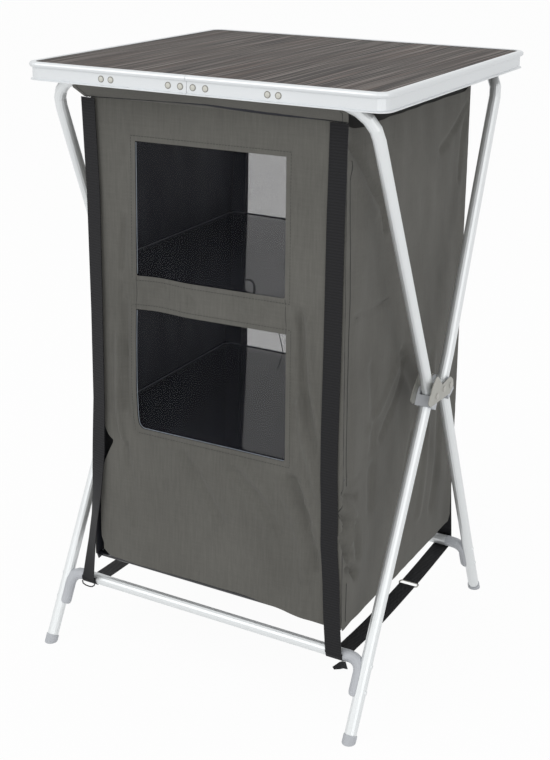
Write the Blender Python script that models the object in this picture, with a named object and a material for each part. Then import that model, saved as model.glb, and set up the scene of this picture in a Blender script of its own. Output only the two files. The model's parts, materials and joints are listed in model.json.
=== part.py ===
"""Camping cupboard: a table top on a folding aluminium frame, with a hanging fabric cabinet.

Metres, +Z up. The origin is on the floor under the middle of the table top. The front,
with the cabinet's door, faces -Y, and +X is the right-hand side seen from the front.
"""
import math

import bmesh
import bpy
from mathutils import Matrix, Vector

# Overall sizes
TOP_WIDTH = 0.600
TOP_DEPTH = 0.590
HEIGHT = 1.000
GAP = 0.0003

# Table top: a board held in the slot of a bent aluminium rim
RIM_HEIGHT = 0.028
RIM_CORNER_RADIUS = 0.024
RIM_BEAD_RADIUS = 0.0045
RIM_FACE_SET_BACK = 0.0050
RIM_WALL = 0.0015
RIM_LIP = 0.0105
RIM_LIP_THICKNESS = 0.0012
RIM_FLANGE_THICKNESS = 0.0015
RIM_FOOT_HEIGHT = 0.0030
RIM_FOOT_FLARE = 0.0030
BOARD_THICKNESS = 0.0045
BOARD_EDGE_TAPER = 0.0003
SEAM_X = -0.0120

# Rivets along the front and rear rims, and what they hold
RIM_RIVET_DROP = 0.0170
CLIP_FROM_SEAM = 0.1388
CLIP_RIVET_SPACING = 0.0170
CLIP_LENGTH = 0.036
CLIP_WALL = 0.0022
SPLICE_RIVET_X = (0.0105, 0.0310)
SPLICE_LENGTH = 0.084
SPLICE_THICKNESS = 0.0015
SPLICE_HEIGHT = 0.0150
SPLICE_CORNER = 0.002
RIM_RIVET_HEAD = 0.0043
RIM_RIVET_SHANK = 0.0015
RIVET_DOME = 0.0013

# Frame tubes
TUBE_RADIUS = 0.0095
TUBE_WALL = 0.0012
LEG_INSET = 0.0175
ARM_SPLAY = 0.0150
ARM_STRAIGHT = 0.055
BAR_INSET = 0.0290
BAR_DROP = 0.0220
BEND_RADIUS = 0.058
FOOT_INSET = 0.0120
CROSSBAR_HEIGHT = 0.111

# Centre joints
PIVOT_HEIGHT = 0.489
PIVOT_SPACING = 0.060
PIN_RADIUS = 0.0030
PIN_HEAD_RADIUS = 0.0055
TUBE_PAST_PIN = 0.0050
KNUCKLE_CHEEK = 0.0040
KNUCKLE_WALL = 0.0027
KNUCKLE_LENGTH = 0.0210
KNUCKLE_WEB = 0.0020
SLOT_DEPTH = 0.0112
PLATE_THICKNESS = 0.0015
PLATE_CORNER_RADIUS = 0.003
SPACER_RADIUS = 0.0050
SPACER_RISE = 0.0030
# Plate outline as (forward or back, up) from the front pivot, then from the rear one
PLATE_FRONT_LOBE = ((0.0045, 0.0297), (-0.0055, 0.0355), (-0.0225, 0.0200), (-0.0370, -0.0015), (-0.0275, -0.0100))
PLATE_REAR_END = ((-0.0005, -0.0140), (0.0140, -0.0050), (0.0105, 0.0070), (-0.0025, 0.0154))
PLATE_NOTCH = (-0.0095, 0.0125)

# Plastic elbows between the legs and the crossbars, and the feet
ELBOW_RADIUS = 0.0098
ELBOW_OFFSET = 0.0085
ELBOW_BEND = 0.020
ELBOW_MOUTH = 0.0120
ELBOW_LENGTH = 0.057
SPIGOT_LENGTH = 0.020
LEG_RIVET_PLACES = (0.006, 0.047)
LEG_RIVET_HEAD = 0.0040
LEG_RIVET_SHANK = 0.0020
LEG_RIVET_DEPTH = 0.0045
LEG_RIVET_SEAT = 0.0006
FOOT_WALL = 0.0010
FOOT_LENGTH = 0.0115
FOOT_SOLE = 0.0070

# Fabric cabinet
CLOTH = 0.0015
THIN_CLOTH = 0.0006
SLEEVE_CLOTH = 0.0009
SLEEVE_HALF_LENGTH = 0.208
HEADER_DROP = 0.031
HEADER_SET_BACK = 0.0205
CABINET_LEAN = 0.0118
CABINET_BOTTOM = 0.154
SIDE_GAP_TOP = 0.0600
SIDE_GAP_BOTTOM = 0.0405
SIDE_BULGE = 0.0045
UPPER_SHELF_TOP = 0.670
LOWER_SHELF_TOP = 0.410
FLOOR_RISE = 0.012
SHELF_THICKNESS = 0.006
SHELF_CORNER = 0.004
SHELF_CLOTH = 0.0010
WINDOW_WIDTH = 0.261
WINDOW_SILL = 0.004
WINDOW_STRIP = 0.054
WINDOW_TOP_MARGIN = 0.060
WINDOW_CORNER = 0.010
WINDOW_OVERLAP = 0.008
CUTTER_REACH = 0.020
MESH_MARGIN_X = 0.036
MESH_MARGIN_Z = 0.030
DOOR_EDGE = 0.001
DOOR_FOLD = 0.004

# Webbing straps
STRAP_WIDTH = 0.028
STRAP = 0.0012
STRAP_INSET_TOP = 0.0100
STRAP_INSET_BOTTOM = 0.0155
STRAP_BOW = 0.0150
STRAP_SAG = 0.005
SEWN_END = 0.022
LOOSE_END = 0.042
SLIDER_PLACE = 0.058
SLIDER_LENGTH = 0.0130
SLIDER_WIRE_RADIUS = 0.00125
SLIDER_CORNER = 0.0025

# Facets
TUBE_SIDES = 16
BEND_STEPS = 5
RIVET_SIDES = 8
PIN_SIDES = 12

LEFT, RIGHT = -1.0, 1.0
FRONT, REAR = -1.0, 1.0
SIDE_NAMES = {LEFT: "left", RIGHT: "right"}
END_NAMES = {FRONT: "front", REAR: "rear"}
X_AXIS = Vector((1, 0, 0))
Y_AXIS = Vector((0, 1, 0))
Z_AXIS = Vector((0, 0, 1))

# Places worked out from the sizes above
LEG_X = TOP_WIDTH / 2 - LEG_INSET
BAR_Y = TOP_DEPTH / 2 - BAR_INSET
BAR_Z = HEIGHT - BAR_DROP
FOOT_Y = TOP_DEPTH / 2 - FOOT_INSET
SLEEVE_RADIUS = TUBE_RADIUS + GAP + SLEEVE_CLOTH
CABINET_TOP = BAR_Z - HEADER_DROP
DOOR_TOP_Y = BAR_Y - HEADER_SET_BACK
DOOR_Y = DOOR_TOP_Y - CABINET_LEAN
ARM_TOP_X = LEG_X - ARM_SPLAY
RIM_INNER_FACE = RIM_FACE_SET_BACK + RIM_WALL
KNUCKLE_HALF_WIDTH = TUBE_RADIUS + GAP + KNUCKLE_CHEEK
PLATE_INNER_FACE = KNUCKLE_HALF_WIDTH + GAP
CLIP_BACK = BAR_INSET - RIM_INNER_FACE - SLEEVE_RADIUS - 2 * GAP
ELBOW_X = LEG_X - ELBOW_OFFSET
CROSSBAR_HALF = ELBOW_X - ELBOW_BEND - ELBOW_MOUTH - GAP
STRAP_LOOP_RADIUS = TUBE_RADIUS + GAP + STRAP / 2
SLIDER_LOOP_RADIUS = SLIDER_WIRE_RADIUS + GAP + STRAP / 2


# Frame lines: where the pivots, bars and feet are, seen from the side

def pivot(end):
    return Vector((0, end * PIVOT_SPACING / 2, PIVOT_HEIGHT))


def bar_centre(end):
    return Vector((0, end * BAR_Y, BAR_Z))


def leg_direction(end):
    foot = Vector((0, end * FOOT_Y, 0))
    return (foot - pivot(end)).normalized()


def leg_outward(end):
    """The direction square to the leg that points away from the cupboard's middle."""
    down = leg_direction(end)
    return Vector((0, end * -down.z, abs(down.y)))


def leg_point(end, height):
    down = leg_direction(end)
    return pivot(end) + down * ((height - PIVOT_HEIGHT) / down.z)


def leg_length(end):
    return (leg_point(end, 0.0) - pivot(end)).length


def arm_direction(end):
    """From the upper bar down to the pivot."""
    return (pivot(end) - bar_centre(end)).normalized()


def cabinet_half_width(z):
    """The cabinet's outer half width, a little wider at the bottom."""
    share = (CABINET_TOP - z) / (CABINET_TOP - CABINET_BOTTOM)
    top = LEG_X - SIDE_GAP_TOP
    return top + share * (SIDE_GAP_TOP - SIDE_GAP_BOTTOM)


def lean_scale(z):
    """How much deeper the cabinet is at a height than at its bottom."""
    share = (z - CABINET_BOTTOM) / (CABINET_TOP - CABINET_BOTTOM)
    return 1 + share * CABINET_LEAN / DOOR_Y


def lean(bm):
    """Spreads a piece of the cabinet, drawn with upright walls, to the cabinet's leaning ones."""
    for vertex in bm.verts:
        vertex.co.y *= lean_scale(vertex.co.z)
    return bm


# Materials and objects

def material(name, colour, roughness, metallic=0.0):
    made = bpy.data.materials.new(name)
    made.use_nodes = True
    shader = made.node_tree.nodes["Principled BSDF"]
    shader.inputs["Base Color"].default_value = (*colour, 1.0)
    shader.inputs["Roughness"].default_value = roughness
    shader.inputs["Metallic"].default_value = metallic
    return made


def body_empty(name, place):
    """An empty on the axis that a group of pieces turns or slides about."""
    empty = bpy.data.objects.new(name, None)
    empty.location = place
    empty.empty_display_size = 0.05
    bpy.context.collection.objects.link(empty)
    return empty


def add_piece(name, bm, look, parent, crease=35.0):
    """Makes a bmesh drawn in world places into a named object under its body's empty."""
    bmesh.ops.recalc_face_normals(bm, faces=bm.faces)
    mesh = bpy.data.meshes.new(name)
    bm.to_mesh(mesh)
    bm.free()
    mesh.transform(Matrix.Translation(-Vector(parent.location)))
    mesh.shade_smooth()
    mesh.set_sharp_from_angle(angle=math.radians(crease))
    mesh.materials.append(look)
    piece = bpy.data.objects.new(name, mesh)
    piece.parent = parent
    bpy.context.collection.objects.link(piece)
    return piece


def add_tool(name, bm):
    """A hidden shape that is cut from a piece, or fused with it."""
    bmesh.ops.recalc_face_normals(bm, faces=bm.faces)
    mesh = bpy.data.meshes.new(name)
    bm.to_mesh(mesh)
    bm.free()
    tool = bpy.data.objects.new(name, mesh)
    tool.hide_render = True
    tool.display_type = "WIRE"
    bpy.context.collection.objects.link(tool)
    return tool


def combine(piece, tool, operation):
    modifier = piece.modifiers.new(tool.name, "BOOLEAN")
    modifier.operation = operation
    modifier.solver = "EXACT"
    modifier.object = tool


# Mesh building

def loft(bm, rings, closed=False):
    """Skins rings of points in turn, with a face over each end unless the rings form a loop."""
    loops = [[bm.verts.new(point) for point in ring] for ring in rings]
    pairs = list(zip(loops, loops[1:]))
    if closed:
        pairs.append((loops[-1], loops[0]))
    for first, second in pairs:
        count = len(first)
        for i in range(count):
            j = (i + 1) % count
            bm.faces.new((first[i], first[j], second[j], second[i]))
    if not closed:
        bm.faces.new(loops[0])
        bm.faces.new(loops[-1])


def ring(centre, across, up, radius, sides):
    turns = [2 * math.pi * i / sides for i in range(sides)]
    return [centre + across * (radius * math.cos(t)) + up * (radius * math.sin(t)) for t in turns]


def lathe(bm, origin, axis, profile, sides):
    """Turns (distance along the axis, radius) pairs about an axis."""
    axis = Vector(axis).normalized()
    across = axis.orthogonal().normalized()
    up = axis.cross(across)
    loft(bm, [ring(origin + axis * d, across, up, r, sides) for d, r in profile])


def prism(bm, outline, origin, u, v, depth):
    """Pushes a flat outline, given in the u and v directions, along depth."""
    base = [origin + u * a + v * b for a, b in outline]
    loft(bm, [base, [point + depth for point in base]])


def arc(centre, radius, start, end, steps):
    """Points on an arc, with angles in degrees from the first axis towards the second."""
    angles = [math.radians(start + (end - start) * i / steps) for i in range(steps + 1)]
    return [(centre[0] + radius * math.cos(t), centre[1] + radius * math.sin(t)) for t in angles]


def rounded(points, radius, steps=3):
    """The same outline with each corner turned into a small curve."""
    outline = []
    count = len(points)
    for i in range(count):
        corner = Vector(points[i])
        before = Vector(points[i - 1]) - corner
        after = Vector(points[(i + 1) % count]) - corner
        reach = min(radius, before.length / 2, after.length / 2)
        start = corner + before.normalized() * reach
        end = corner + after.normalized() * reach
        for k in range(steps + 1):
            t = k / steps
            outline.append(tuple(start * (1 - t) ** 2 + corner * (2 * t * (1 - t)) + end * t ** 2))
    return outline


def rounded_box(half_a, half_b, radius, steps):
    corners = ((1, 1, 0), (-1, 1, 90), (-1, -1, 180), (1, -1, 270))
    outline = []
    for a, b, turn in corners:
        centre = (a * (half_a - radius), b * (half_b - radius))
        outline += arc(centre, radius, turn, turn + 90, steps)
    return outline


def strip(path, thickness):
    """A flat strip of even thickness along a path of (a, b) points, as one closed outline."""
    points = [Vector(p) for p in path]
    left, right = [], []
    for i, point in enumerate(points):
        before = (point - points[i - 1]).normalized() if i else None
        after = (points[i + 1] - point).normalized() if i + 1 < len(points) else None
        before = before or after
        after = after or before
        along = (before + after).normalized()
        across = Vector((-along.y, along.x))
        reach = thickness / 2 / max(along.dot(before), 0.5)
        left.append(tuple(point + across * reach))
        right.append(tuple(point - across * reach))
    return left + right[::-1]


def tube_between(bm, start, end, radius, bore, sides=TUBE_SIDES):
    """A straight round tube, open right through."""
    axis = (end - start).normalized()
    across = X_AXIS if abs(axis.x) < 0.5 else Y_AXIS
    up = axis.cross(across).normalized()
    across = up.cross(axis)
    places = ((start, radius), (end, radius), (end, bore), (start, bore))
    loft(bm, [ring(p, across, up, r, sides) for p, r in places], closed=True)


def slab(bm, surface, columns, rows, thickness):
    """A sheet of cloth: surface(s, t) is its outer face, and thickness leads to its inner one."""
    outer = [[bm.verts.new(surface(s, t)) for s in columns] for t in rows]
    inner = [[bm.verts.new(vertex.co + thickness) for vertex in row] for row in outer]
    wide, tall = len(columns), len(rows)
    for face, turn in ((outer, 1), (inner, -1)):
        for j in range(tall - 1):
            for i in range(wide - 1):
                quad = (face[j][i], face[j][i + 1], face[j + 1][i + 1], face[j + 1][i])
                bm.faces.new(quad[::turn])
    edge = [(0, i) for i in range(wide)] + [(j, wide - 1) for j in range(1, tall)]
    edge += [(tall - 1, i) for i in range(wide - 2, -1, -1)] + [(j, 0) for j in range(tall - 2, 0, -1)]
    for (j, i), (m, k) in zip(edge, edge[1:] + edge[:1]):
        bm.faces.new((outer[j][i], outer[m][k], inner[m][k], inner[j][i]))


def spread(low, high, count):
    return [low + (high - low) * i / (count - 1) for i in range(count)]


# Table top

def rim_profile():
    """The rim's section as (outward, up) points from the outermost line at the top."""
    bead_centre = (-RIM_BEAD_RADIUS, -RIM_BEAD_RADIUS)
    slot_top = -RIM_LIP_THICKNESS
    slot_bottom = slot_top - BOARD_THICKNESS - 2 * GAP
    flange_bottom = slot_bottom - RIM_FLANGE_THICKNESS
    face = -RIM_FACE_SET_BACK
    inner = -RIM_INNER_FACE
    foot = -RIM_HEIGHT + RIM_FOOT_HEIGHT
    profile = arc(bead_centre, RIM_BEAD_RADIUS, 90, -52, 5)
    profile += [(face, -2 * RIM_BEAD_RADIUS), (face, foot)]
    profile += [(face + RIM_FOOT_FLARE, foot - RIM_FOOT_HEIGHT / 2), (face + RIM_FOOT_FLARE, -RIM_HEIGHT)]
    profile += [(inner, -RIM_HEIGHT), (inner, flange_bottom), (-RIM_LIP, flange_bottom)]
    profile += [(-RIM_LIP, slot_bottom), (inner, slot_bottom), (inner, slot_top)]
    profile += [(-RIM_LIP, slot_top), (-RIM_LIP, slot_top * 0.4)]
    return profile


def rim_half(side):
    """One bent half of the rim, from the front seam round two corners to the rear seam."""
    half_x = TOP_WIDTH / 2
    half_y = TOP_DEPTH / 2
    seam = SEAM_X + side * GAP
    stations = [(Vector((seam, -half_y, HEIGHT)), Vector((0, -1, 0)))]
    for end, start in ((FRONT, -90), (REAR, 0)):
        centre = Vector((side * (half_x - RIM_CORNER_RADIUS), end * (half_y - RIM_CORNER_RADIUS), HEIGHT))
        for i in range(BEND_STEPS + 1):
            turn = math.radians(start + 90 * i / BEND_STEPS)
            out = Vector((side * math.cos(turn), math.sin(turn), 0))
            stations.append((centre + out * RIM_CORNER_RADIUS, out))
    stations.append((Vector((seam, half_y, HEIGHT)), Vector((0, 1, 0))))
    bm = bmesh.new()
    profile = rim_profile()
    loft(bm, [[place + out * n + Z_AXIS * z for n, z in profile] for place, out in stations])
    return bm


def board_outline(inset, z):
    outline = rounded_box(TOP_WIDTH / 2 - inset, TOP_DEPTH / 2 - inset, RIM_CORNER_RADIUS - inset, BEND_STEPS)
    return [Vector((x, y, z)) for x, y in outline]


def board():
    """The board, whose margin tapers a little where it slides in under the rim's lip."""
    edge = RIM_INNER_FACE + GAP
    lip_end = RIM_LIP + GAP
    top = HEIGHT - RIM_LIP_THICKNESS - GAP
    bm = bmesh.new()
    loft(bm, [board_outline(edge, top - BOARD_THICKNESS), board_outline(edge, top - BOARD_EDGE_TAPER),
              board_outline(lip_end, top)])
    return bm


def clip(side, end):
    """A moulded hook that holds an upper bar against the rim.

    The front hooks wrap the bar, so that the top hinges on it. The rear hooks are open
    towards the middle, so that the rear bar can leave them.
    """
    inner_radius = SLEEVE_RADIUS + GAP
    outer_radius = inner_radius + CLIP_WALL
    start, stop = (-30, 205) if end == FRONT else (75, 225)
    rim_face = TOP_DEPTH / 2 - RIM_INNER_FACE - GAP
    back = -(rim_face - BAR_Y)
    inside = arc((0, 0), inner_radius, start, stop, 10)
    outline = inside + [(back, inside[-1][1]), (back, outer_radius), (0, outer_radius)]
    if start < 90:
        outline += arc((0, 0), outer_radius, 90, start, 6)[1:]
    origin = bar_centre(end) + X_AXIS * (SEAM_X + side * CLIP_FROM_SEAM - CLIP_LENGTH / 2)
    bm = bmesh.new()
    prism(bm, outline, origin, Vector((0, -end, 0)), Z_AXIS, X_AXIS * CLIP_LENGTH)
    return bm


def splice(end):
    """The strip inside the rim that joins its halves at a seam."""
    place = Vector((SEAM_X, end * (TOP_DEPTH / 2 - RIM_INNER_FACE - GAP), HEIGHT - RIM_RIVET_DROP))
    outline = rounded_box(SPLICE_LENGTH / 2, SPLICE_HEIGHT / 2, SPLICE_CORNER, 2)
    bm = bmesh.new()
    prism(bm, outline, place, X_AXIS, Z_AXIS, Y_AXIS * (-end * SPLICE_THICKNESS))
    return bm


def rim_rivet_places(side):
    """Each rim rivet's side-to-side place, and how far its shank reaches behind the rim."""
    clip_x = SEAM_X + side * CLIP_FROM_SEAM
    places = [(clip_x + step * CLIP_RIVET_SPACING / 2, CLIP_BACK) for step in (-1, 1)]
    return places + [(SEAM_X + side * x, SPLICE_THICKNESS) for x in SPLICE_RIVET_X]


def rivet_profile(inner, surface, shank, head):
    """A shank that ends at inner, with a domed head that stands on the surface."""
    base = surface - GAP
    return ((inner, shank), (base, shank), (base, head), (surface + RIVET_DOME * 0.6, head * 0.8),
            (surface + RIVET_DOME, head * 0.35))


def rim_rivets(side):
    bm = bmesh.new()
    for end in (FRONT, REAR):
        for x, depth in rim_rivet_places(side):
            origin = Vector((x, end * (TOP_DEPTH / 2 - RIM_FACE_SET_BACK), HEIGHT - RIM_RIVET_DROP))
            profile = rivet_profile(-(RIM_WALL + GAP + depth), 0.0, RIM_RIVET_SHANK, RIM_RIVET_HEAD)
            lathe(bm, origin, Vector((0, end, 0)), profile, RIVET_SIDES)
    return bm


def rim_rivet_holes():
    """The rivets' holes in the clips and splices behind the rim."""
    bm = bmesh.new()
    radius = RIM_RIVET_SHANK + GAP
    for end in (FRONT, REAR):
        for side in (LEFT, RIGHT):
            for x, depth in rim_rivet_places(side):
                origin = Vector((x, end * (TOP_DEPTH / 2 - RIM_INNER_FACE), HEIGHT - RIM_RIVET_DROP))
                profile = ((-(2 * GAP + depth), radius), (0.0, radius))
                lathe(bm, origin, Vector((0, end, 0)), profile, RIVET_SIDES)
    return bm


# Frame tubes

def upper_frame(end):
    """The upper U: a bar along the table's edge, bent down into two arms that end at the pivots."""
    down = arm_direction(end)
    bar = bar_centre(end)
    arm = (pivot(end) - bar).length + TUBE_PAST_PIN
    path = [(-LEG_X, arm, math.pi), (-LEG_X, arm - ARM_STRAIGHT, math.pi)]
    for side, start in ((LEFT, 180), (RIGHT, 90)):
        centre = (side * (ARM_TOP_X - BEND_RADIUS), BEND_RADIUS)
        for i in range(BEND_STEPS + 1):
            turn = math.radians(start - 90 * i / BEND_STEPS)
            x = centre[0] + BEND_RADIUS * math.cos(turn)
            s = centre[1] - BEND_RADIUS * math.sin(turn)
            path.append((x, s, turn))
    path += [(LEG_X, arm - ARM_STRAIGHT, 0.0), (LEG_X, arm, 0.0)]
    normal = X_AXIS.cross(down)
    outer, bore = [], []
    for x, s, turn in path:
        across = X_AXIS * math.cos(turn) - down * math.sin(turn)
        centre = bar + X_AXIS * x + down * s
        outer.append(ring(centre, across, normal, TUBE_RADIUS, TUBE_SIDES))
        bore.append(ring(centre, across, normal, TUBE_RADIUS - TUBE_WALL, TUBE_SIDES))
    bm = bmesh.new()
    loft(bm, outer + bore[::-1], closed=True)
    return bm


def leg(side, end):
    down = leg_direction(end)
    top = pivot(end) + X_AXIS * (side * LEG_X) + down * (SLOT_DEPTH + KNUCKLE_WEB + GAP)
    bottom = pivot(end) + X_AXIS * (side * LEG_X) + down * (leg_length(end) - FOOT_SOLE)
    bm = bmesh.new()
    tube_between(bm, top, bottom, TUBE_RADIUS, TUBE_RADIUS - TUBE_WALL)
    return bm


def crossbar(end):
    centre = leg_point(end, CROSSBAR_HEIGHT)
    bm = bmesh.new()
    tube_between(bm, centre - X_AXIS * CROSSBAR_HALF, centre + X_AXIS * CROSSBAR_HALF,
                 TUBE_RADIUS, TUBE_RADIUS - TUBE_WALL)
    return bm


def elbow(side, end):
    """A moulded corner: a spigot in the crossbar, a bend, and a tail that hugs the leg."""
    down = leg_direction(end)
    normal = X_AXIS.cross(down)
    centre = leg_point(end, CROSSBAR_HEIGHT)
    mouth = ELBOW_X - ELBOW_BEND - ELBOW_MOUTH
    spigot = TUBE_RADIUS - TUBE_WALL - GAP
    stations = [(mouth - SPIGOT_LENGTH, 0, 0, spigot), (mouth, 0, 0, spigot), (mouth, 0, 0, ELBOW_RADIUS)]
    for i in range(BEND_STEPS + 1):
        turn = math.radians(90 * i / BEND_STEPS)
        x = ELBOW_X - ELBOW_BEND + ELBOW_BEND * math.sin(turn)
        s = ELBOW_BEND - ELBOW_BEND * math.cos(turn)
        stations.append((x, s, turn, ELBOW_RADIUS))
    tail = math.radians(90)
    for step, share in ((0.006, 1.0), (0.0015, 0.85), (0.0, 0.6)):
        stations.append((ELBOW_X, ELBOW_LENGTH - step, tail, ELBOW_RADIUS * share))
    rings = []
    for x, s, turn, radius in stations:
        across = X_AXIS * (-side * math.sin(turn)) + down * math.cos(turn)
        place = centre + X_AXIS * (side * x) + down * s
        rings.append(ring(place, across, normal, radius, TUBE_SIDES))
    bm = bmesh.new()
    loft(bm, rings)
    return bm


def leg_clearances(end):
    """The room that each elbow leaves for its leg."""
    bm = bmesh.new()
    down = leg_direction(end)
    for side in (LEFT, RIGHT):
        start = leg_point(end, CROSSBAR_HEIGHT) + X_AXIS * (side * LEG_X) - down * ELBOW_LENGTH
        lathe(bm, start, down, ((0.0, TUBE_RADIUS + GAP), (3 * ELBOW_LENGTH, TUBE_RADIUS + GAP)), TUBE_SIDES)
    return bm


def leg_rivets(side, end):
    """The rivets that go through a leg into its elbow."""
    bm = bmesh.new()
    down = leg_direction(end)
    inner = LEG_X - TUBE_RADIUS - LEG_RIVET_DEPTH
    profile = rivet_profile(inner, LEG_X + TUBE_RADIUS, LEG_RIVET_SHANK, LEG_RIVET_HEAD)
    seat = (profile[1][0] - LEG_RIVET_SEAT, LEG_RIVET_SHANK), (profile[2][0] - LEG_RIVET_SEAT, LEG_RIVET_HEAD)
    for place in LEG_RIVET_PLACES:
        origin = leg_point(end, CROSSBAR_HEIGHT) + down * place
        lathe(bm, origin, Vector((side, 0, 0)), (profile[0], *seat, *profile[3:]), RIVET_SIDES)
    return bm


def leg_rivet_holes(end):
    """The rivets' holes in the elbows."""
    bm = bmesh.new()
    radius = LEG_RIVET_SHANK + GAP
    for side in (LEFT, RIGHT):
        for place in LEG_RIVET_PLACES:
            origin = leg_point(end, CROSSBAR_HEIGHT) + leg_direction(end) * place
            profile = ((LEG_X - TUBE_RADIUS - LEG_RIVET_DEPTH - GAP, radius), (LEG_X, radius))
            lathe(bm, origin, Vector((side, 0, 0)), profile, RIVET_SIDES)
    return bm


def foot_cap(side, end):
    """A plastic cup over the leg's end, cut flat where it stands on the floor."""
    length = leg_length(end)
    inner = TUBE_RADIUS + GAP
    outer = inner + FOOT_WALL
    start = length - FOOT_LENGTH
    floor = length - FOOT_SOLE + GAP
    profile = ((floor, inner), (start, inner), (start, outer - GAP), (start + 2 * GAP, outer),
               (length + outer, outer))
    bm = bmesh.new()
    lathe(bm, pivot(end) + X_AXIS * (side * LEG_X), leg_direction(end), profile, TUBE_SIDES)
    everything = bm.verts[:] + bm.edges[:] + bm.faces[:]
    made = bmesh.ops.bisect_plane(bm, geom=everything, plane_co=(0, 0, 0), plane_no=(0, 0, -1), clear_outer=True)
    cut_edges = [item for item in made["geom_cut"] if isinstance(item, bmesh.types.BMEdge)]
    bmesh.ops.edgeloop_fill(bm, edges=cut_edges)
    return bm


# Centre joints

def knuckle(side, end):
    """The fork on a leg's top: cheeks each side of the upper arm, and a lip that stops it."""
    half = TUBE_RADIUS + GAP + KNUCKLE_WALL
    side_view = arc((0, 0), half, 90, 270, 8) + [(KNUCKLE_LENGTH, -half), (KNUCKLE_LENGTH, half)]
    origin = pivot(end) + X_AXIS * (side * LEG_X - KNUCKLE_HALF_WIDTH)
    bm = bmesh.new()
    prism(bm, side_view, origin, leg_direction(end), leg_outward(end), X_AXIS * (2 * KNUCKLE_HALF_WIDTH))
    return bm


def knuckle_slots():
    """Cutters for the arm's slot and the leg's socket in each knuckle."""
    bm = bmesh.new()
    inner = TUBE_RADIUS + GAP
    clear = TUBE_RADIUS + 2 * GAP
    far = 0.03
    for end in (FRONT, REAR):
        u, v = leg_direction(end), leg_outward(end)
        up_arm = -arm_direction(end)
        across_u, across_v = up_arm.dot(v), -up_arm.dot(u)
        lip = [(clear - across_v * reach) / across_u for reach in (inner, far)]
        outline = [(lip[1], far), (lip[0], inner), (SLOT_DEPTH, inner), (SLOT_DEPTH, -far), (-far, -far), (-far, far)]
        for side in (LEFT, RIGHT):
            centre = pivot(end) + X_AXIS * (side * LEG_X)
            prism(bm, outline, centre - X_AXIS * inner, u, v, X_AXIS * (2 * inner))
            socket = ((SLOT_DEPTH + KNUCKLE_WEB, inner), (KNUCKLE_LENGTH + far, inner))
            lathe(bm, centre, u, socket, TUBE_SIDES)
    return bm


def plate(side, face):
    """One of the two pressed plates that hold a side's tubes; face is the layer, -1 or 1."""
    front, rear = pivot(FRONT), pivot(REAR)
    points = [(front.y + a, front.z + b) for a, b in PLATE_FRONT_LOBE]
    points += [(rear.y + a, rear.z + b) for a, b in PLATE_REAR_END]
    points.append((PLATE_NOTCH[0], front.z + PLATE_NOTCH[1]))
    outline = rounded(points, PLATE_CORNER_RADIUS)
    start = side * LEG_X + face * PLATE_INNER_FACE
    bm = bmesh.new()
    prism(bm, outline, X_AXIS * start, Y_AXIS, Z_AXIS, X_AXIS * (face * PLATE_THICKNESS))
    return bm


def spacer_centre():
    return Vector((0, 0, PIVOT_HEIGHT + SPACER_RISE))


def pin_head(face, radius):
    """A domed head's profile, from the plate's outer face outwards."""
    return ((face, radius), (face + RIVET_DOME * 0.6, radius * 0.85), (face + RIVET_DOME, radius * 0.4))


def plate_pin(side, place, shoulder):
    """A rivet through both plates; a shoulder wider than the pin keeps the plates apart."""
    head = pin_head(PLATE_INNER_FACE + PLATE_THICKNESS + GAP, PIN_HEAD_RADIUS)
    shank = ((head[0][0], PIN_RADIUS),)
    if shoulder > PIN_RADIUS:
        shank = ((PLATE_INNER_FACE - GAP, shoulder), (PLATE_INNER_FACE - GAP, PIN_RADIUS), *shank)
    half = shank + head
    profile = [(-d, r) for d, r in half[::-1]] + list(half)
    bm = bmesh.new()
    lathe(bm, place + X_AXIS * (side * LEG_X), X_AXIS, profile, PIN_SIDES)
    return bm


def pin_holes():
    bm = bmesh.new()
    reach = PLATE_INNER_FACE + PLATE_THICKNESS + 2 * GAP
    profile = ((-reach, PIN_RADIUS + GAP), (reach, PIN_RADIUS + GAP))
    for side in (LEFT, RIGHT):
        for place in (pivot(FRONT), pivot(REAR), spacer_centre()):
            lathe(bm, place + X_AXIS * (side * LEG_X), X_AXIS, profile, PIN_SIDES)
    return bm


# Fabric cabinet

def header(end):
    """The sleeve round an upper bar, sewn into a skirt that the cabinet hangs from."""
    radius = TUBE_RADIUS + GAP + SLEEVE_CLOTH / 2
    hem = Vector((HEADER_SET_BACK, -HEADER_DROP + 5 * GAP))
    swing = math.degrees(math.acos(radius / hem.length))
    leave = math.degrees(math.atan2(hem.y, hem.x)) - swing
    path = [tuple(hem)] + arc((0, 0), radius, leave, leave - 340, 16)
    bm = bmesh.new()
    origin = bar_centre(end) - X_AXIS * SLEEVE_HALF_LENGTH
    prism(bm, strip(path, SLEEVE_CLOTH), origin, Vector((0, -end, 0)), Z_AXIS, X_AXIS * (2 * SLEEVE_HALF_LENGTH))
    return bm


def shelf_levels():
    return (CABINET_BOTTOM, CABINET_BOTTOM + FLOOR_RISE, LOWER_SHELF_TOP, UPPER_SHELF_TOP, CABINET_TOP)


def side_bulge(z):
    """How far a side wall hangs out between the levels that hold it."""
    levels = shelf_levels()[1:]
    for low, high in zip(levels, levels[1:]):
        if low < z < high:
            return SIDE_BULGE * math.sin(math.pi * (z - low) / (high - low)) ** 2
    return 0.0


def side_wall(side):
    half_depth = DOOR_Y - CLOTH / 2 - GAP

    def surface(y, z):
        fullness = max(0.0, 1 - (y / half_depth) ** 4)
        return Vector((side * (cabinet_half_width(z) + side_bulge(z) * fullness), y, z))

    levels = shelf_levels()
    rows = [levels[0]]
    for low, high in zip(levels[1:], levels[2:]):
        rows += spread(low, high, 5)[:-1]
    rows.append(levels[-1])
    bm = bmesh.new()
    slab(bm, surface, spread(-half_depth, half_depth, 7), rows, X_AXIS * (-side * CLOTH))
    return bm


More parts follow.
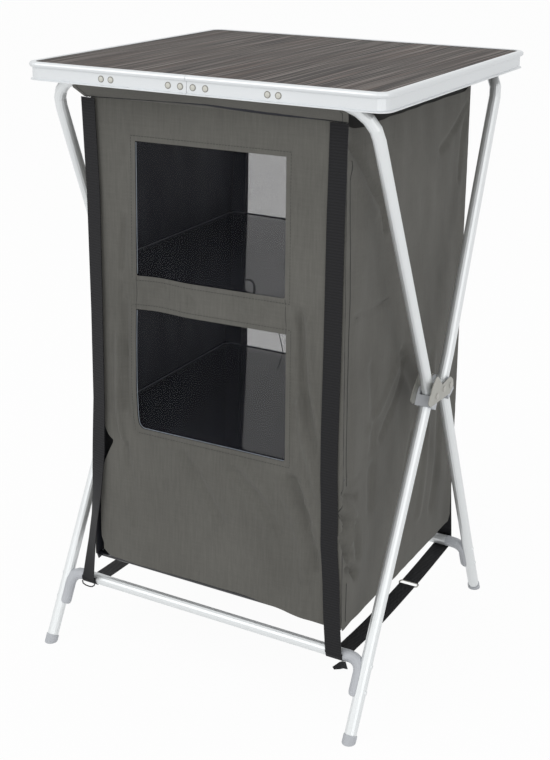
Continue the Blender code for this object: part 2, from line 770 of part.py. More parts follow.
def door_fold(x, z, half):
    """The door's slack: soft upright folds below the lower window."""
    below = max(0.0, 1 - (z - CABINET_BOTTOM) / (LOWER_SHELF_TOP - CABINET_BOTTOM))
    inside = max(0.0, 1 - (x / half) ** 2)
    return DOOR_FOLD * below * inside * math.sin(2.5 * math.pi * x / half) ** 2


def front_or_back(end, fold):
    """The door or the back wall, as a sheet between the side walls' edges."""
    def surface(share, z):
        half = cabinet_half_width(z) - DOOR_EDGE
        x = share * half
        slack = door_fold(x, z, half * 0.8) if fold and abs(x) < half * 0.8 else 0.0
        return Vector((x, end * (DOOR_Y + CLOTH / 2 + slack), z))

    rows = spread(CABINET_BOTTOM, LOWER_SHELF_TOP, 5) + spread(LOWER_SHELF_TOP, CABINET_TOP - 5 * GAP, 4)[1:]
    bm = bmesh.new()
    slab(bm, surface, spread(-1.0, 1.0, 25 if fold else 9), rows, Y_AXIS * (-end * CLOTH))
    return bm


def window_spans():
    """The lower and upper windows as (bottom, top)."""
    lower = (LOWER_SHELF_TOP + WINDOW_SILL, UPPER_SHELF_TOP - WINDOW_STRIP)
    upper = (UPPER_SHELF_TOP + WINDOW_SILL, CABINET_TOP - WINDOW_TOP_MARGIN)
    return lower, upper


def window_outline(half_width, bottom, top, radius):
    middle = (bottom + top) / 2
    return [(a, middle + b) for a, b in rounded_box(half_width, (top - bottom) / 2, radius, 4)]


def window_cutters():
    bm = bmesh.new()
    for bottom, top in window_spans():
        outline = window_outline(WINDOW_WIDTH / 2, bottom, top, WINDOW_CORNER)
        prism(bm, outline, Y_AXIS * (-DOOR_Y - CUTTER_REACH), X_AXIS, Z_AXIS, Y_AXIS * (2 * CUTTER_REACH))
    return bm


def window_film(bottom, top):
    outline = window_outline(WINDOW_WIDTH / 2 + WINDOW_OVERLAP, bottom - WINDOW_OVERLAP / 2,
                             top + WINDOW_OVERLAP, WINDOW_CORNER)
    bm = bmesh.new()
    start = -DOOR_Y + CLOTH / 2 + GAP
    prism(bm, outline, Y_AXIS * start, X_AXIS, Z_AXIS, Y_AXIS * THIN_CLOTH)
    return bm


def mesh_outline(grow):
    half = LEG_X - SIDE_GAP_TOP - MESH_MARGIN_X + grow
    bottom = CABINET_BOTTOM + FLOOR_RISE + MESH_MARGIN_Z - grow
    top = CABINET_TOP - MESH_MARGIN_Z + grow
    return window_outline(half, bottom, top, WINDOW_CORNER)


def mesh_cutter():
    bm = bmesh.new()
    start = DOOR_Y - CUTTER_REACH
    prism(bm, mesh_outline(0.0), Y_AXIS * start, X_AXIS, Z_AXIS, Y_AXIS * (2 * CUTTER_REACH))
    return bm


def rear_mesh():
    bm = bmesh.new()
    start = DOOR_Y - CLOTH / 2 - GAP
    prism(bm, mesh_outline(WINDOW_OVERLAP), Y_AXIS * start, X_AXIS, Z_AXIS, -Y_AXIS * THIN_CLOTH)
    return bm


def shelf_half_sizes(top):
    half_x = cabinet_half_width(top) - CLOTH - GAP
    half_y = DOOR_Y - CLOTH / 2 - THIN_CLOTH - 3 * GAP
    return half_x, half_y


def shelf_cover(top):
    """A shelf's sewn cover, open at its left and right ends."""
    half_x, half_y = shelf_half_sizes(top)
    middle = top - SHELF_THICKNESS / 2
    rings = []
    for x, inset in ((-half_x, 0.0), (half_x, 0.0), (half_x, SHELF_CLOTH), (-half_x, SHELF_CLOTH)):
        corners = ((-1, -1), (1, -1), (1, 1), (-1, 1))
        rings.append([Vector((x, a * (half_y - inset), middle + b * (SHELF_THICKNESS / 2 - inset)))
                      for a, b in corners])
    bm = bmesh.new()
    loft(bm, rings, closed=True)
    return bm


def shelf_board(top):
    half_x, half_y = shelf_half_sizes(top)
    inset = SHELF_CLOTH + GAP
    outline = rounded_box(half_x - GAP, half_y - inset, SHELF_CORNER, 2)
    bm = bmesh.new()
    prism(bm, outline, Z_AXIS * (top - inset), X_AXIS, Y_AXIS, -Z_AXIS * (SHELF_THICKNESS - 2 * inset))
    return bm


# Webbing

def strap_centre(z):
    """A hanging strap's distance from the middle at a height."""
    share = min(1.0, (CABINET_TOP - z) / (CABINET_TOP - CROSSBAR_HEIGHT))
    top = LEG_X - SIDE_GAP_TOP - STRAP_INSET_TOP
    bottom = LEG_X - SIDE_GAP_BOTTOM - STRAP_INSET_BOTTOM
    return top + share * (bottom - top) - 4 * STRAP_BOW * share * (1 - share)


def sling_height(y):
    """The middle of the webbing's run under the cabinet, with its slight sag."""
    span = abs(leg_point(FRONT, CROSSBAR_HEIGHT).y)
    return CROSSBAR_HEIGHT - STRAP_LOOP_RADIUS - STRAP_SAG * (1 - (y / span) ** 2)


def slider_bar(end):
    """The slider's bar that the front or rear strap loops round, from side to side."""
    y = SLIDER_PLACE + end * SLIDER_LENGTH / 2
    return Vector((y, sling_height(SLIDER_PLACE) - SLIDER_LOOP_RADIUS))


def strap(side, end):
    """Webbing from the header down outside the cabinet, under the crossbar and back to the slider."""
    centre = leg_point(end, CROSSBAR_HEIGHT)
    out = abs(centre.y)
    bar = slider_bar(end)
    slider_out = end * bar.x
    top = Vector((DOOR_TOP_Y + (CLOTH / 2 + GAP) * lean_scale(CABINET_TOP) + STRAP / 2, CABINET_TOP))
    reach = top - Vector((out, centre.z))
    touch = math.degrees(math.atan2(reach.y, reach.x) - math.acos(STRAP_LOOP_RADIUS / reach.length))
    round_bar = arc((out, centre.z), STRAP_LOOP_RADIUS, touch, -90, 6)
    path = [tuple(top + (Vector(round_bar[0]) - top) * k / 8) for k in range(8)] + round_bar
    run = spread(out, slider_out, 9)[1:-1]
    path += [(y, sling_height(y)) for y in run]
    path += arc((slider_out, bar.y), SLIDER_LOOP_RADIUS, 90, 270, 6)
    tail = SEWN_END if end == FRONT else LOOSE_END
    path.append((slider_out + tail, sling_height(slider_out + tail) - STRAP - GAP))
    bm = bmesh.new()
    prism(bm, strip(path, STRAP), -X_AXIS * (STRAP_WIDTH / 2), Vector((0, end, 0)), Z_AXIS, X_AXIS * STRAP_WIDTH)
    for vertex in bm.verts:
        vertex.co.x += side * strap_centre(vertex.co.z)
    return bm


def slider(side):
    """The wire ring that joins a side's front and rear straps."""
    front, rear = slider_bar(FRONT), slider_bar(REAR)
    centre = Vector((side * strap_centre(front.y), (front.x + rear.x) / 2, front.y))
    half_width = STRAP_WIDTH / 2 + SLIDER_CORNER
    path = rounded_box(half_width, SLIDER_LENGTH / 2, SLIDER_CORNER, 3)
    rings = []
    for i, (x, y) in enumerate(path):
        before = Vector(path[i - 1])
        after = Vector(path[(i + 1) % len(path)])
        along = (after - before).normalized()
        across = Vector((along.y, -along.x, 0))
        rings.append(ring(centre + Vector((x, y, 0)), across, Z_AXIS, SLIDER_WIRE_RADIUS, 8))
    bm = bmesh.new()
    loft(bm, rings, closed=True)
    return bm


# Assembly

def build_materials():
    return {
        "board": material("wood_grain_board", (0.30, 0.26, 0.25), 0.55),
        "rim": material("satin_rim", (0.80, 0.81, 0.82), 0.35, 0.9),
        "tube": material("satin_tube", (0.82, 0.83, 0.84), 0.32, 0.9),
        "plastic": material("grey_plastic", (0.42, 0.43, 0.45), 0.5),
        "plate": material("pressed_steel", (0.50, 0.50, 0.48), 0.4, 0.8),
        "rivet": material("rivet_steel", (0.70, 0.70, 0.70), 0.3, 1.0),
        "cloth": material("grey_cloth", (0.12, 0.12, 0.11), 0.85),
        "window": material("clear_film", (0.10, 0.10, 0.11), 0.15),
        "mesh": material("net_cloth", (0.25, 0.25, 0.24), 0.9),
        "shelf_core": material("shelf_core", (0.10, 0.10, 0.10), 0.7),
        "webbing": material("black_webbing", (0.02, 0.02, 0.022), 0.8),
    }


def build_tabletop(looks, body, tools):
    add_piece("table_board", board(), looks["board"], body)
    for side in (LEFT, RIGHT):
        name = SIDE_NAMES[side]
        half = add_piece(name + "_rim", rim_half(side), looks["rim"], body)
        combine(half, add_tool(name + "_rim_rivets", rim_rivets(side)), "UNION")
    for end in (FRONT, REAR):
        strip_piece = add_piece(END_NAMES[end] + "_splice", splice(end), looks["rim"], body)
        combine(strip_piece, tools["rim_rivet_holes"], "DIFFERENCE")
        for side in (LEFT, RIGHT):
            name = END_NAMES[end] + "_" + SIDE_NAMES[side] + "_clip"
            hook = add_piece(name, clip(side, end), looks["plastic"], body)
            combine(hook, tools["rim_rivet_holes"], "DIFFERENCE")


def build_upper_frame(end, looks, body, tools):
    name = END_NAMES[end]
    tube = add_piece(name + "_upper_frame", upper_frame(end), looks["tube"], body)
    combine(tube, tools["pin_holes"], "DIFFERENCE")
    add_piece(name + "_header", header(end), looks["cloth"], body)


def build_lower_frame(end, looks, body, tools):
    name = END_NAMES[end]
    holes = add_tool(name + "_leg_rivet_holes", leg_rivet_holes(end))
    clearances = add_tool(name + "_leg_clearances", leg_clearances(end))
    for side in (LEFT, RIGHT):
        place = name + "_" + SIDE_NAMES[side]
        tube = add_piece(place + "_leg", leg(side, end), looks["tube"], body)
        combine(tube, add_tool(place + "_leg_rivets", leg_rivets(side, end)), "UNION")
        corner = add_piece(place + "_elbow", elbow(side, end), looks["plastic"], body)
        combine(corner, clearances, "DIFFERENCE")
        combine(corner, holes, "DIFFERENCE")
        add_piece(place + "_foot", foot_cap(side, end), looks["plastic"], body)
        fork = add_piece(place + "_knuckle", knuckle(side, end), looks["plastic"], body)
        combine(fork, tools["knuckle_slots"], "DIFFERENCE")
        combine(fork, tools["pin_holes"], "DIFFERENCE")
    add_piece(name + "_crossbar", crossbar(end), looks["tube"], body)


def build_centre_joints(looks, body, tools):
    for side in (LEFT, RIGHT):
        name = SIDE_NAMES[side]
        for face in (LEFT, RIGHT):
            layer = "outer" if face == side else "inner"
            pressed = add_piece(name + "_" + layer + "_plate", plate(side, face), looks["plate"], body)
            combine(pressed, tools["pin_holes"], "DIFFERENCE")
        for end in (FRONT, REAR):
            pin = plate_pin(side, pivot(end), PIN_RADIUS)
            add_piece(END_NAMES[end] + "_" + name + "_pivot_pin", pin, looks["rivet"], body)
        add_piece(name + "_spacer_rivet", plate_pin(side, spacer_centre(), SPACER_RADIUS), looks["rivet"], body)


def build_cabinet(looks, body):
    for side in (LEFT, RIGHT):
        add_piece(SIDE_NAMES[side] + "_wall", lean(side_wall(side)), looks["cloth"], body, 60)
    back = add_piece("back_wall", lean(front_or_back(REAR, False)), looks["cloth"], body, 60)
    combine(back, add_tool("mesh_opening", mesh_cutter()), "DIFFERENCE")
    add_piece("rear_mesh", lean(rear_mesh()), looks["mesh"], body)
    levels = (("cabinet_floor", CABINET_BOTTOM + FLOOR_RISE), ("lower_shelf", LOWER_SHELF_TOP),
              ("upper_shelf", UPPER_SHELF_TOP))
    for name, top in levels:
        add_piece(name, lean(shelf_cover(top)), looks["cloth"], body)
        add_piece(name + "_board", lean(shelf_board(top)), looks["shelf_core"], body)
    for side in (LEFT, RIGHT):
        for end in (FRONT, REAR):
            name = END_NAMES[end] + "_" + SIDE_NAMES[side] + "_strap"
            add_piece(name, strap(side, end), looks["webbing"], body, 60)
        add_piece(SIDE_NAMES[side] + "_slider", slider(side), looks["rivet"], body)


def build_door(looks, body):
    panel = add_piece("door", lean(front_or_back(FRONT, True)), looks["cloth"], body, 60)
    combine(panel, add_tool("window_openings", window_cutters()), "DIFFERENCE")
    for name, (bottom, top) in zip(("lower_window", "upper_window"), window_spans()):
        add_piece(name, lean(window_film(bottom, top)), looks["window"], body)


def main():
    for old in list(bpy.data.objects):
        bpy.data.objects.remove(old, do_unlink=True)
    looks = build_materials()
    tools = {
        "pin_holes": add_tool("pin_holes", pin_holes()),
        "knuckle_slots": add_tool("knuckle_slots", knuckle_slots()),
        "rim_rivet_holes": add_tool("rim_rivet_holes", rim_rivet_holes()),
    }
    build_centre_joints(looks, body_empty("side_plates_body", (0, 0, PIVOT_HEIGHT)), tools)
    build_tabletop(looks, body_empty("tabletop_body", bar_centre(FRONT)), tools)
    for end in (FRONT, REAR):
        name = END_NAMES[end]
        build_upper_frame(end, looks, body_empty(name + "_upper_body", pivot(end)), tools)
        build_lower_frame(end, looks, body_empty(name + "_legs_body", pivot(end)), tools)
    build_cabinet(looks, body_empty("cabinet_body", (0, -DOOR_TOP_Y, CABINET_TOP)))
    build_door(looks, body_empty("door_body", (0, -DOOR_TOP_Y, CABINET_TOP)))


main()
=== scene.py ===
"""The looks of a folding camping cupboard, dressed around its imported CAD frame.

Metres, +Z up. The front, with the cabinet's door, faces -Y, and +X is the right-hand side.
"""
import json
import math

import bpy
from mathutils import Matrix, Vector, noise


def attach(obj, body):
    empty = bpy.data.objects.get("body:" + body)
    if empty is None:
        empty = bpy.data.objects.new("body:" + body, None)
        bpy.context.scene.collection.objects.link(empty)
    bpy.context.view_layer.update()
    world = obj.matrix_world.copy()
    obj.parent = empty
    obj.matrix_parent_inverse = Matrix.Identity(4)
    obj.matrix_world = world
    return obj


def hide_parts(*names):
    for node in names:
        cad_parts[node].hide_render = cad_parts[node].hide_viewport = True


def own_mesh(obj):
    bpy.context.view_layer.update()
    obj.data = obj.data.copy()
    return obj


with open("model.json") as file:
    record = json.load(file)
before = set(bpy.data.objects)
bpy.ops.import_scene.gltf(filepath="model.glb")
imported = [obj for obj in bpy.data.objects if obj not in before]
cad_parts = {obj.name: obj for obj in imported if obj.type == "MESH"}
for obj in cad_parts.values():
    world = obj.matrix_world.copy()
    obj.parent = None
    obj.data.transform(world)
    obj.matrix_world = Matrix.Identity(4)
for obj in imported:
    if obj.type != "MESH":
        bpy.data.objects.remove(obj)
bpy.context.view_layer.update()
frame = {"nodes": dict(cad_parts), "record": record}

# The cabinet, as the CAD has it
CABINET_TOP = 0.947
CABINET_BOTTOM = 0.154
HALF_WIDTH_TOP = 0.2225
HALF_WIDTH_BOTTOM = 0.2420
HALF_DEPTH_TOP = 0.2463
HALF_DEPTH_BOTTOM = 0.2345
UPPER_SHELF_TOP = 0.670
LOWER_SHELF_TOP = 0.410
FLOOR_TOP = 0.166
SHELF_THICKNESS = 0.006
WINDOW_HALF_WIDTH = 0.1305
UPPER_WINDOW = (0.674, 0.887)
LOWER_WINDOW = (0.414, 0.616)

# The frame, as the CAD has it
BAR_Y, BAR_Z = 0.266, 0.978
HEADER_SET_BACK, HEADER_DROP = 0.0205, 0.0302
CROSSBAR_Y, CROSSBAR_Z = 0.2256, 0.111
TUBE_RADIUS = 0.0095
RIM_FACE_Y, RIM_RIVET_Z = 0.290, 0.983
SEAM_X = -0.012
RIM_RIVETS = (0.0105, 0.0310, 0.1303, 0.1473)

# Cloth and webbing
CLOTH = 0.0012
STRAP_WIDTH = 0.028
STRAP = 0.0012
SLIDER_Y = 0.066

LEFT, RIGHT = -1, 1
FRONT, REAR = -1, 1
SIDE_NAMES = {LEFT: "left", RIGHT: "right"}
END_NAMES = {FRONT: "front", REAR: "rear"}


def half_width(z):
    """Half the cabinet's width at a height."""
    share = (CABINET_TOP - z) / (CABINET_TOP - CABINET_BOTTOM)
    return HALF_WIDTH_TOP + share * (HALF_WIDTH_BOTTOM - HALF_WIDTH_TOP)


def half_depth(z):
    """Half the cabinet's depth at a height."""
    share = (CABINET_TOP - z) / (CABINET_TOP - CABINET_BOTTOM)
    return HALF_DEPTH_TOP + share * (HALF_DEPTH_BOTTOM - HALF_DEPTH_TOP)


def ease(value):
    """0 below 0, 1 above 1, and smooth between."""
    value = max(0.0, min(1.0, value))
    return value * value * (3 - 2 * value)


def hump(value, centre, reach):
    """1 at the centre, falling smoothly to 0 at its reach."""
    return ease(1 - abs(value - centre) / reach)


def between(table, value, column=1):
    """Reads a table with rising first values, straight between its rows."""
    if value <= table[0][0]:
        return table[0][column]
    for low, high in zip(table, table[1:]):
        if value <= high[0]:
            share = (value - low[0]) / (high[0] - low[0])
            return low[column] + share * (high[column] - low[column])
    return table[-1][column]


def gap_to_line(a, b, start, end):
    """How far a flat point is from a straight line's nearest point."""
    run = (end[0] - start[0], end[1] - start[1])
    share = ((a - start[0]) * run[0] + (b - start[1]) * run[1]) / (run[0] ** 2 + run[1] ** 2)
    share = max(0.0, min(1.0, share))
    return math.hypot(a - start[0] - share * run[0], b - start[1] - share * run[1])


def folded(folds, a, b):
    """How far the folds near a flat point lift it; each fold has a height, a reach and a path."""
    total = 0.0
    for height, reach, path in folds:
        gap = min(gap_to_line(a, b, start, end) for start, end in zip(path, path[1:]))
        total += height * ease(1 - gap / reach)
    return total


def ripple(x, y, z, size, seed=0.0):
    """Smooth noise from -1 to 1 with bumps of about the given size."""
    return noise.noise(Vector((x / size + seed, y / size - seed, z / size + 2 * seed)))


# Shader maths

class Wire:
    """A shader value: arithmetic on it adds the Math nodes."""

    def __init__(self, owner, socket):
        self.owner = owner
        self.socket = socket

    def maths(self, operation, *values):
        return self.owner.node("ShaderNodeMath", {"operation": operation}, dict(enumerate(values)))

    def __add__(self, other):
        return self.maths("ADD", self, other)

    def __sub__(self, other):
        return self.maths("SUBTRACT", self, other)

    def __rsub__(self, other):
        return self.maths("SUBTRACT", other, self)

    def __mul__(self, other):
        return self.maths("MULTIPLY", self, other)

    __radd__ = __add__
    __rmul__ = __mul__

    def sine(self):
        return self.maths("SINE", self)

    def size(self):
        return self.maths("ABSOLUTE", self)

    def above(self, limit):
        return self.maths("GREATER_THAN", self, limit)

    def held(self):
        """Kept between 0 and 1."""
        return self.owner.node("ShaderNodeClamp", {}, {0: self})


def srgb(red, green, blue):
    """A colour given in display values from 0 to 255, as Blender's linear one."""
    def linear(value):
        value = value / 255
        return value / 12.92 if value <= 0.04045 else ((value + 0.055) / 1.055) ** 2.4
    return (linear(red), linear(green), linear(blue), 1.0)


def shaded(colour, share):
    """A colour with a share of its light, which may be more than 1."""
    return tuple(value * share for value in colour[:3]) + (1.0,)


def set_stops(ramp, stops):
    """Gives a colour ramp its stops; a new ramp already has two."""
    for i, (place, colour) in enumerate(stops):
        stop = ramp.elements[i] if i < 2 else ramp.elements.new(place)
        stop.position = place
        stop.color = colour


class NodeTree:
    """The nodes of a finish or of the sky."""

    def __init__(self, tree):
        self.tree = tree

    def feed(self, socket, value):
        if isinstance(value, Wire):
            self.tree.links.new(value.socket, socket)
        else:
            socket.default_value = value

    def node(self, kind, settings, values, output=0):
        """Adds a node, first its settings and then its sockets, and gives one of its outputs."""
        made = self.tree.nodes.new(kind)
        for key, value in settings.items():
            if key == "stops":
                set_stops(made.color_ramp, value)
            else:
                setattr(made, key, value)
        for key, value in values.items():
            self.feed(made.inputs[key], value)
        return Wire(self, made.outputs[output])


class Finish(NodeTree):
    """A material in the making."""

    def __init__(self, name, roughness, metallic=0.0, **fixed):
        self.material = bpy.data.materials.new(name)
        self.material.use_nodes = True
        super().__init__(self.material.node_tree)
        self.shader = self.tree.nodes["Principled BSDF"]
        self.shader.inputs["Roughness"].default_value = roughness
        self.shader.inputs["Metallic"].default_value = metallic
        for socket, value in fixed.items():
            self.shader.inputs[socket.replace("_", " ")].default_value = value

    def place(self):
        return self.node("ShaderNodeTexCoord", {}, {}, "Object")

    def uv(self):
        return self.node("ShaderNodeTexCoord", {}, {}, "UV")

    def parts(self, vector):
        made = self.tree.nodes.new("ShaderNodeSeparateXYZ")
        self.tree.links.new(vector.socket, made.inputs[0])
        return [Wire(self, made.outputs[i]) for i in range(3)]

    def stretched(self, scale):
        return self.node("ShaderNodeMapping", {}, {"Vector": self.place(), "Scale": scale})

    def noise(self, vector, scale=1.0, detail=3.0, rough=0.5):
        return self.node("ShaderNodeTexNoise", {}, {"Vector": vector, "Scale": scale, "Detail": detail,
                                                    "Roughness": rough})

    def mix(self, factor, first, second):
        return self.node("ShaderNodeMix", {"data_type": "RGBA"}, {0: factor, 6: first, 7: second}, 2)

    def ramp(self, factor, stops):
        return self.node("ShaderNodeValToRGB", {"stops": stops}, {0: factor})

    def colour(self, value):
        self.feed(self.shader.inputs["Base Color"], value)

    def rough(self, value):
        self.feed(self.shader.inputs["Roughness"], value)

    def alpha(self, value):
        self.feed(self.shader.inputs["Alpha"], value)

    def bumped(self, height, distance, strength):
        """Adds the bump and gives the finished material."""
        bump = self.node("ShaderNodeBump", {}, {"Height": height, "Distance": distance,
                                                "Strength": strength})
        self.feed(self.shader.inputs["Normal"], bump)
        return self.material


# Finishes

def grained_board():
    """Printed wood: close sharp streaks from front to back, in stronger and fainter groups."""
    made = Finish("printed_wood_grain", roughness=0.6, Specular_IOR_Level=0.22)
    x, y, z = made.parts(made.place())
    drift = made.noise(made.stretched((7.0, 3.0, 1.0)), detail=2.0)
    across = x + drift * 0.012

    def streaked(pitch, length, detail, seed):
        place = made.node("ShaderNodeCombineXYZ", {},
                          {0: across * (1 / pitch), 1: y * (1 / length), 2: z + seed})
        return made.noise(place, detail=detail, rough=0.6)

    fine = streaked(pitch=0.0024, length=0.50, detail=1.5, seed=0.0)
    hair = streaked(pitch=0.0012, length=0.20, detail=1.0, seed=4.0)
    groups = streaked(pitch=0.040, length=0.9, detail=2.0, seed=8.0)
    strength = ((groups - 0.38) * 5.0).held() * 1.3 + 1.0
    tone = (fine - 0.5) * strength + (hair - 0.5) * 0.4 + (groups - 0.5) * 0.16 + 0.49
    base = made.ramp(tone, [(0.34, srgb(24, 20, 19)), (0.46, srgb(60, 54, 51)),
                            (0.55, srgb(82, 76, 72)), (0.68, srgb(124, 117, 112))])
    warm = ((streaked(pitch=0.010, length=0.5, detail=3.0, seed=15.0) - 0.52) * 8.0).held()
    made.colour(made.mix(warm * 0.5, base, srgb(80, 62, 54)))
    made.rough(0.58 + fine * 0.15)
    return made.bumped(fine + hair * 0.5, distance=0.0002, strength=0.35)


def satin_aluminium(name, tone, roughness, along):
    """Anodised aluminium: fine drawn lines along the section and soft cloudy wear."""
    made = Finish(name, roughness, metallic=0.55)
    scale = {"x": (8.0, 900.0, 900.0), "z": (900.0, 900.0, 8.0)}[along]
    drawn = made.noise(made.stretched(scale))
    clouds = made.noise(made.place(), scale=9.0, detail=4.0)
    wear = (drawn * 0.3 + clouds * 0.7).held()
    made.colour(made.mix(wear, shaded(tone, 0.93), tone))
    made.rough(roughness - 0.06 + clouds * 0.12)
    return made.bumped(drawn, distance=0.00005, strength=0.25)


def moulded_plastic():
    """Grey moulded fittings: a fine even texture with faint flow marks."""
    made = Finish("moulded_grey_plastic", roughness=0.5)
    grain = made.noise(made.place(), scale=1400.0, detail=2.0)
    flow = made.noise(made.stretched((60.0, 60.0, 22.0)))
    made.colour(made.mix(flow, srgb(188, 191, 196), srgb(206, 209, 214)))
    made.rough(0.42 + grain * 0.2)
    return made.bumped(grain, distance=0.00008, strength=0.4)


def pressed_steel():
    """Plated pressed steel: dull and cloudy, a little warm, with fine scratches."""
    made = Finish("pressed_steel", roughness=0.42, metallic=0.6)
    clouds = made.noise(made.place(), scale=55.0, detail=5.0)
    scratches = made.noise(made.stretched((40.0, 900.0, 220.0)))
    made.colour(made.mix(clouds, srgb(150, 150, 144), srgb(188, 187, 180)))
    made.rough(0.34 + clouds * 0.2)
    return made.bumped(scratches, distance=0.00005, strength=0.4)


def rivet_steel():
    """Bright rivets and pins, unevenly dulled."""
    made = Finish("rivet_steel", roughness=0.34, metallic=0.65)
    clouds = made.noise(made.place(), scale=420.0)
    made.colour(made.mix(clouds, srgb(158, 157, 152), srgb(192, 190, 184)))
    made.rough(0.24 + clouds * 0.22)
    return made.bumped(clouds, distance=0.00006, strength=0.4)


def woven(name, dark, light, roughness, weave_depth=1.0):
    """Plain woven cloth with an uneven yarn: slubs run down it, finer ones across."""
    made = Finish(name, roughness, Specular_IOR_Level=0.2, Sheen_Weight=0.1)
    x, y, z = made.parts(made.place())
    yarns = 2 * math.pi / 0.0016
    warp = ((x + y) * yarns).sine()
    weft = (z * yarns).sine()
    slubs = made.noise(made.stretched((330.0, 330.0, 26.0)), detail=4.0, rough=0.6)
    cross = made.noise(made.stretched((30.0, 30.0, 420.0)))
    clouds = made.noise(made.place(), scale=7.0)
    tone = slubs * 0.26 + cross * 0.10 + clouds * 0.26 + warp * weft * 0.035 + 0.19
    made.colour(made.ramp(tone, [(0.34, dark), (0.66, light)]))
    made.rough(roughness - 0.08 + slubs * 0.16)
    return made.bumped(warp * weft * 0.5 + slubs, distance=0.00022 * weave_depth, strength=0.5)


def painted_shade():
    """Painted shade: dark cloth for the inner sides of the door, walls and back, and for the strip at the
    header's hem.
    """
    made = Finish("painted_shade_cloth", roughness=0.55, Specular_IOR_Level=0.25)
    clouds = made.noise(made.place(), scale=11.0)
    yarn = made.noise(made.stretched((300.0, 300.0, 20.0)), detail=2.0)
    made.colour(made.mix(clouds, srgb(40, 41, 47), srgb(56, 57, 64)))
    return made.bumped(yarn, distance=0.00015, strength=0.4)


def shelf_coating():
    """Smooth coated cloth over the shelf boards: dark, and as clear as a mirror at a low angle."""
    made = Finish("coated_shelf_cloth", roughness=0.06, Specular_IOR_Level=0.62)
    clouds = made.noise(made.place(), scale=6.0)
    yarn = made.noise(made.place(), scale=260.0, detail=2.0)
    made.colour(made.mix(clouds, srgb(28, 29, 34), srgb(38, 39, 44)))
    made.rough(0.04 + clouds * 0.05)
    return made.bumped(yarn, distance=0.00002, strength=0.1)


def clear_film():
    """Clear window film: faintly smoky, with soft waves in its gloss."""
    made = Finish("clear_film", roughness=0.06, Specular_IOR_Level=0.35)
    waves = made.noise(made.place(), scale=14.0, detail=2.0)
    made.colour(made.mix(waves, srgb(46, 48, 56), srgb(60, 62, 70)))
    made.alpha(0.05 + waves * 0.05)
    return made.bumped(waves, distance=0.002, strength=0.1)


def film_edge_highlight():
    """Painted highlight on the film's cut edge: pale and a little blue."""
    made = Finish("film_edge_highlight", roughness=0.3, Specular_IOR_Level=0.5)
    clouds = made.noise(made.place(), scale=90.0)
    made.colour(made.mix(clouds, srgb(132, 140, 150), srgb(182, 190, 200)))
    return made.bumped(clouds, distance=0.0002, strength=0.3)


def net():
    """Fine net: threads with open holes between them."""
    made = Finish("fine_net", roughness=0.8, Specular_IOR_Level=0.1)
    x, y, z = made.parts(made.place())
    pitch = 2 * math.pi / 0.0021
    threads = ((x + z) * pitch).sine() * ((x - z) * pitch).sine()
    holes = threads.size().above(0.27)
    yarn = made.noise(made.place(), scale=500.0, detail=2.0)
    made.colour(made.mix(yarn, srgb(120, 118, 118), srgb(150, 148, 148)))
    made.alpha(1.0 - holes * 0.96)
    return made.bumped(threads, distance=0.0002, strength=0.4)


def webbing():
    """Black webbing: raised ribs across the band and a fine twill."""
    made = Finish("black_webbing", roughness=0.66, Specular_IOR_Level=0.25, Sheen_Weight=0.06)
    across, along, _ = made.parts(made.uv())
    rib, twill_step = 2 * math.pi / 0.0044, 2 * math.pi / 0.0035
    ribs = (along * rib).sine()
    twill = (along * twill_step + across * rib).sine()
    fuzz = made.noise(made.place(), scale=900.0, detail=2.0)
    tone = ribs * 0.30 + twill * 0.10 + fuzz * 0.5 + 0.22
    made.colour(made.mix(tone.held(), srgb(10, 10, 13), srgb(29, 29, 32)))
    return made.bumped(ribs + twill * 0.5, distance=0.0003, strength=0.6)


def enamel(name, tone):
    """Glossy baked enamel, a little uneven."""
    made = Finish(name, roughness=0.28)
    clouds = made.noise(made.place(), scale=600.0, detail=2.0)
    made.colour(made.mix(clouds, tone, shaded(tone, 0.86)))
    made.rough(0.22 + clouds * 0.16)
    return made.bumped(clouds, distance=0.00006, strength=0.3)


def thread(name, tone):
    """Twisted thread or cord, paler where the twist stands up."""
    made = Finish(name, roughness=0.7)
    twist = made.noise(made.place(), scale=1500.0, detail=2.0)
    made.colour(made.mix(twist, tone, shaded(tone, 1.5)))
    return made.bumped(twist, distance=0.0001, strength=0.4)


LOOKS = {
    "board": grained_board(),
    "rim": satin_aluminium("satin_rim", srgb(228, 231, 233), 0.46, "x"),
    "tube": satin_aluminium("satin_tube", srgb(236, 239, 240), 0.44, "z"),
    "plastic": moulded_plastic(),
    "plate": pressed_steel(),
    "rivet": rivet_steel(),
    "cloth": woven("grey_cloth", srgb(86, 85, 81), srgb(112, 111, 106), 0.85),
    "window": clear_film(),
    "mesh": net(),
    "shelf_core": woven("shelf_core", srgb(60, 60, 60), srgb(74, 74, 74), 0.8),
    "webbing": webbing(),
    # painted_shade: dark cloth that paints the shade inside the cabinet and under the header's hem
    "painted_shade": painted_shade(),
    "shelf": shelf_coating(),
    "thread": thread("grey_thread", srgb(46, 46, 44)),
    "piping": thread("pale_piping", srgb(104, 106, 110)),
    # shade_strip: dark cloth that paints the shade lines along seams and the shade under the rim
    "shade_strip": woven("painted_shade_strip", srgb(46, 46, 46), srgb(70, 70, 68), 0.8, 0.6),
    "cap": enamel("rivet_cap", srgb(218, 217, 208)),
    # The rivet caps' dark ring: painted contact shadow.
    "shade_ring": enamel("painted_rivet_ring_shade", srgb(138, 136, 128)),
    "wire": thread("black_wire", srgb(24, 24, 26)),
    # film_edge_highlight: a painted highlight along the windows' film edges
    "film_edge_highlight": film_edge_highlight(),
}

for entry in frame["record"]["subparts"]:
    mesh = frame["nodes"][entry["node"]].data
    mesh.materials.clear()
    mesh.materials.append(LOOKS[entry["material_slot"]])


# Modelling

def pick(piece):
    """Selects one piece and makes it the active one."""
    bpy.ops.object.select_all(action="DESELECT")
    piece.select_set(True)
    bpy.context.view_layer.objects.active = piece


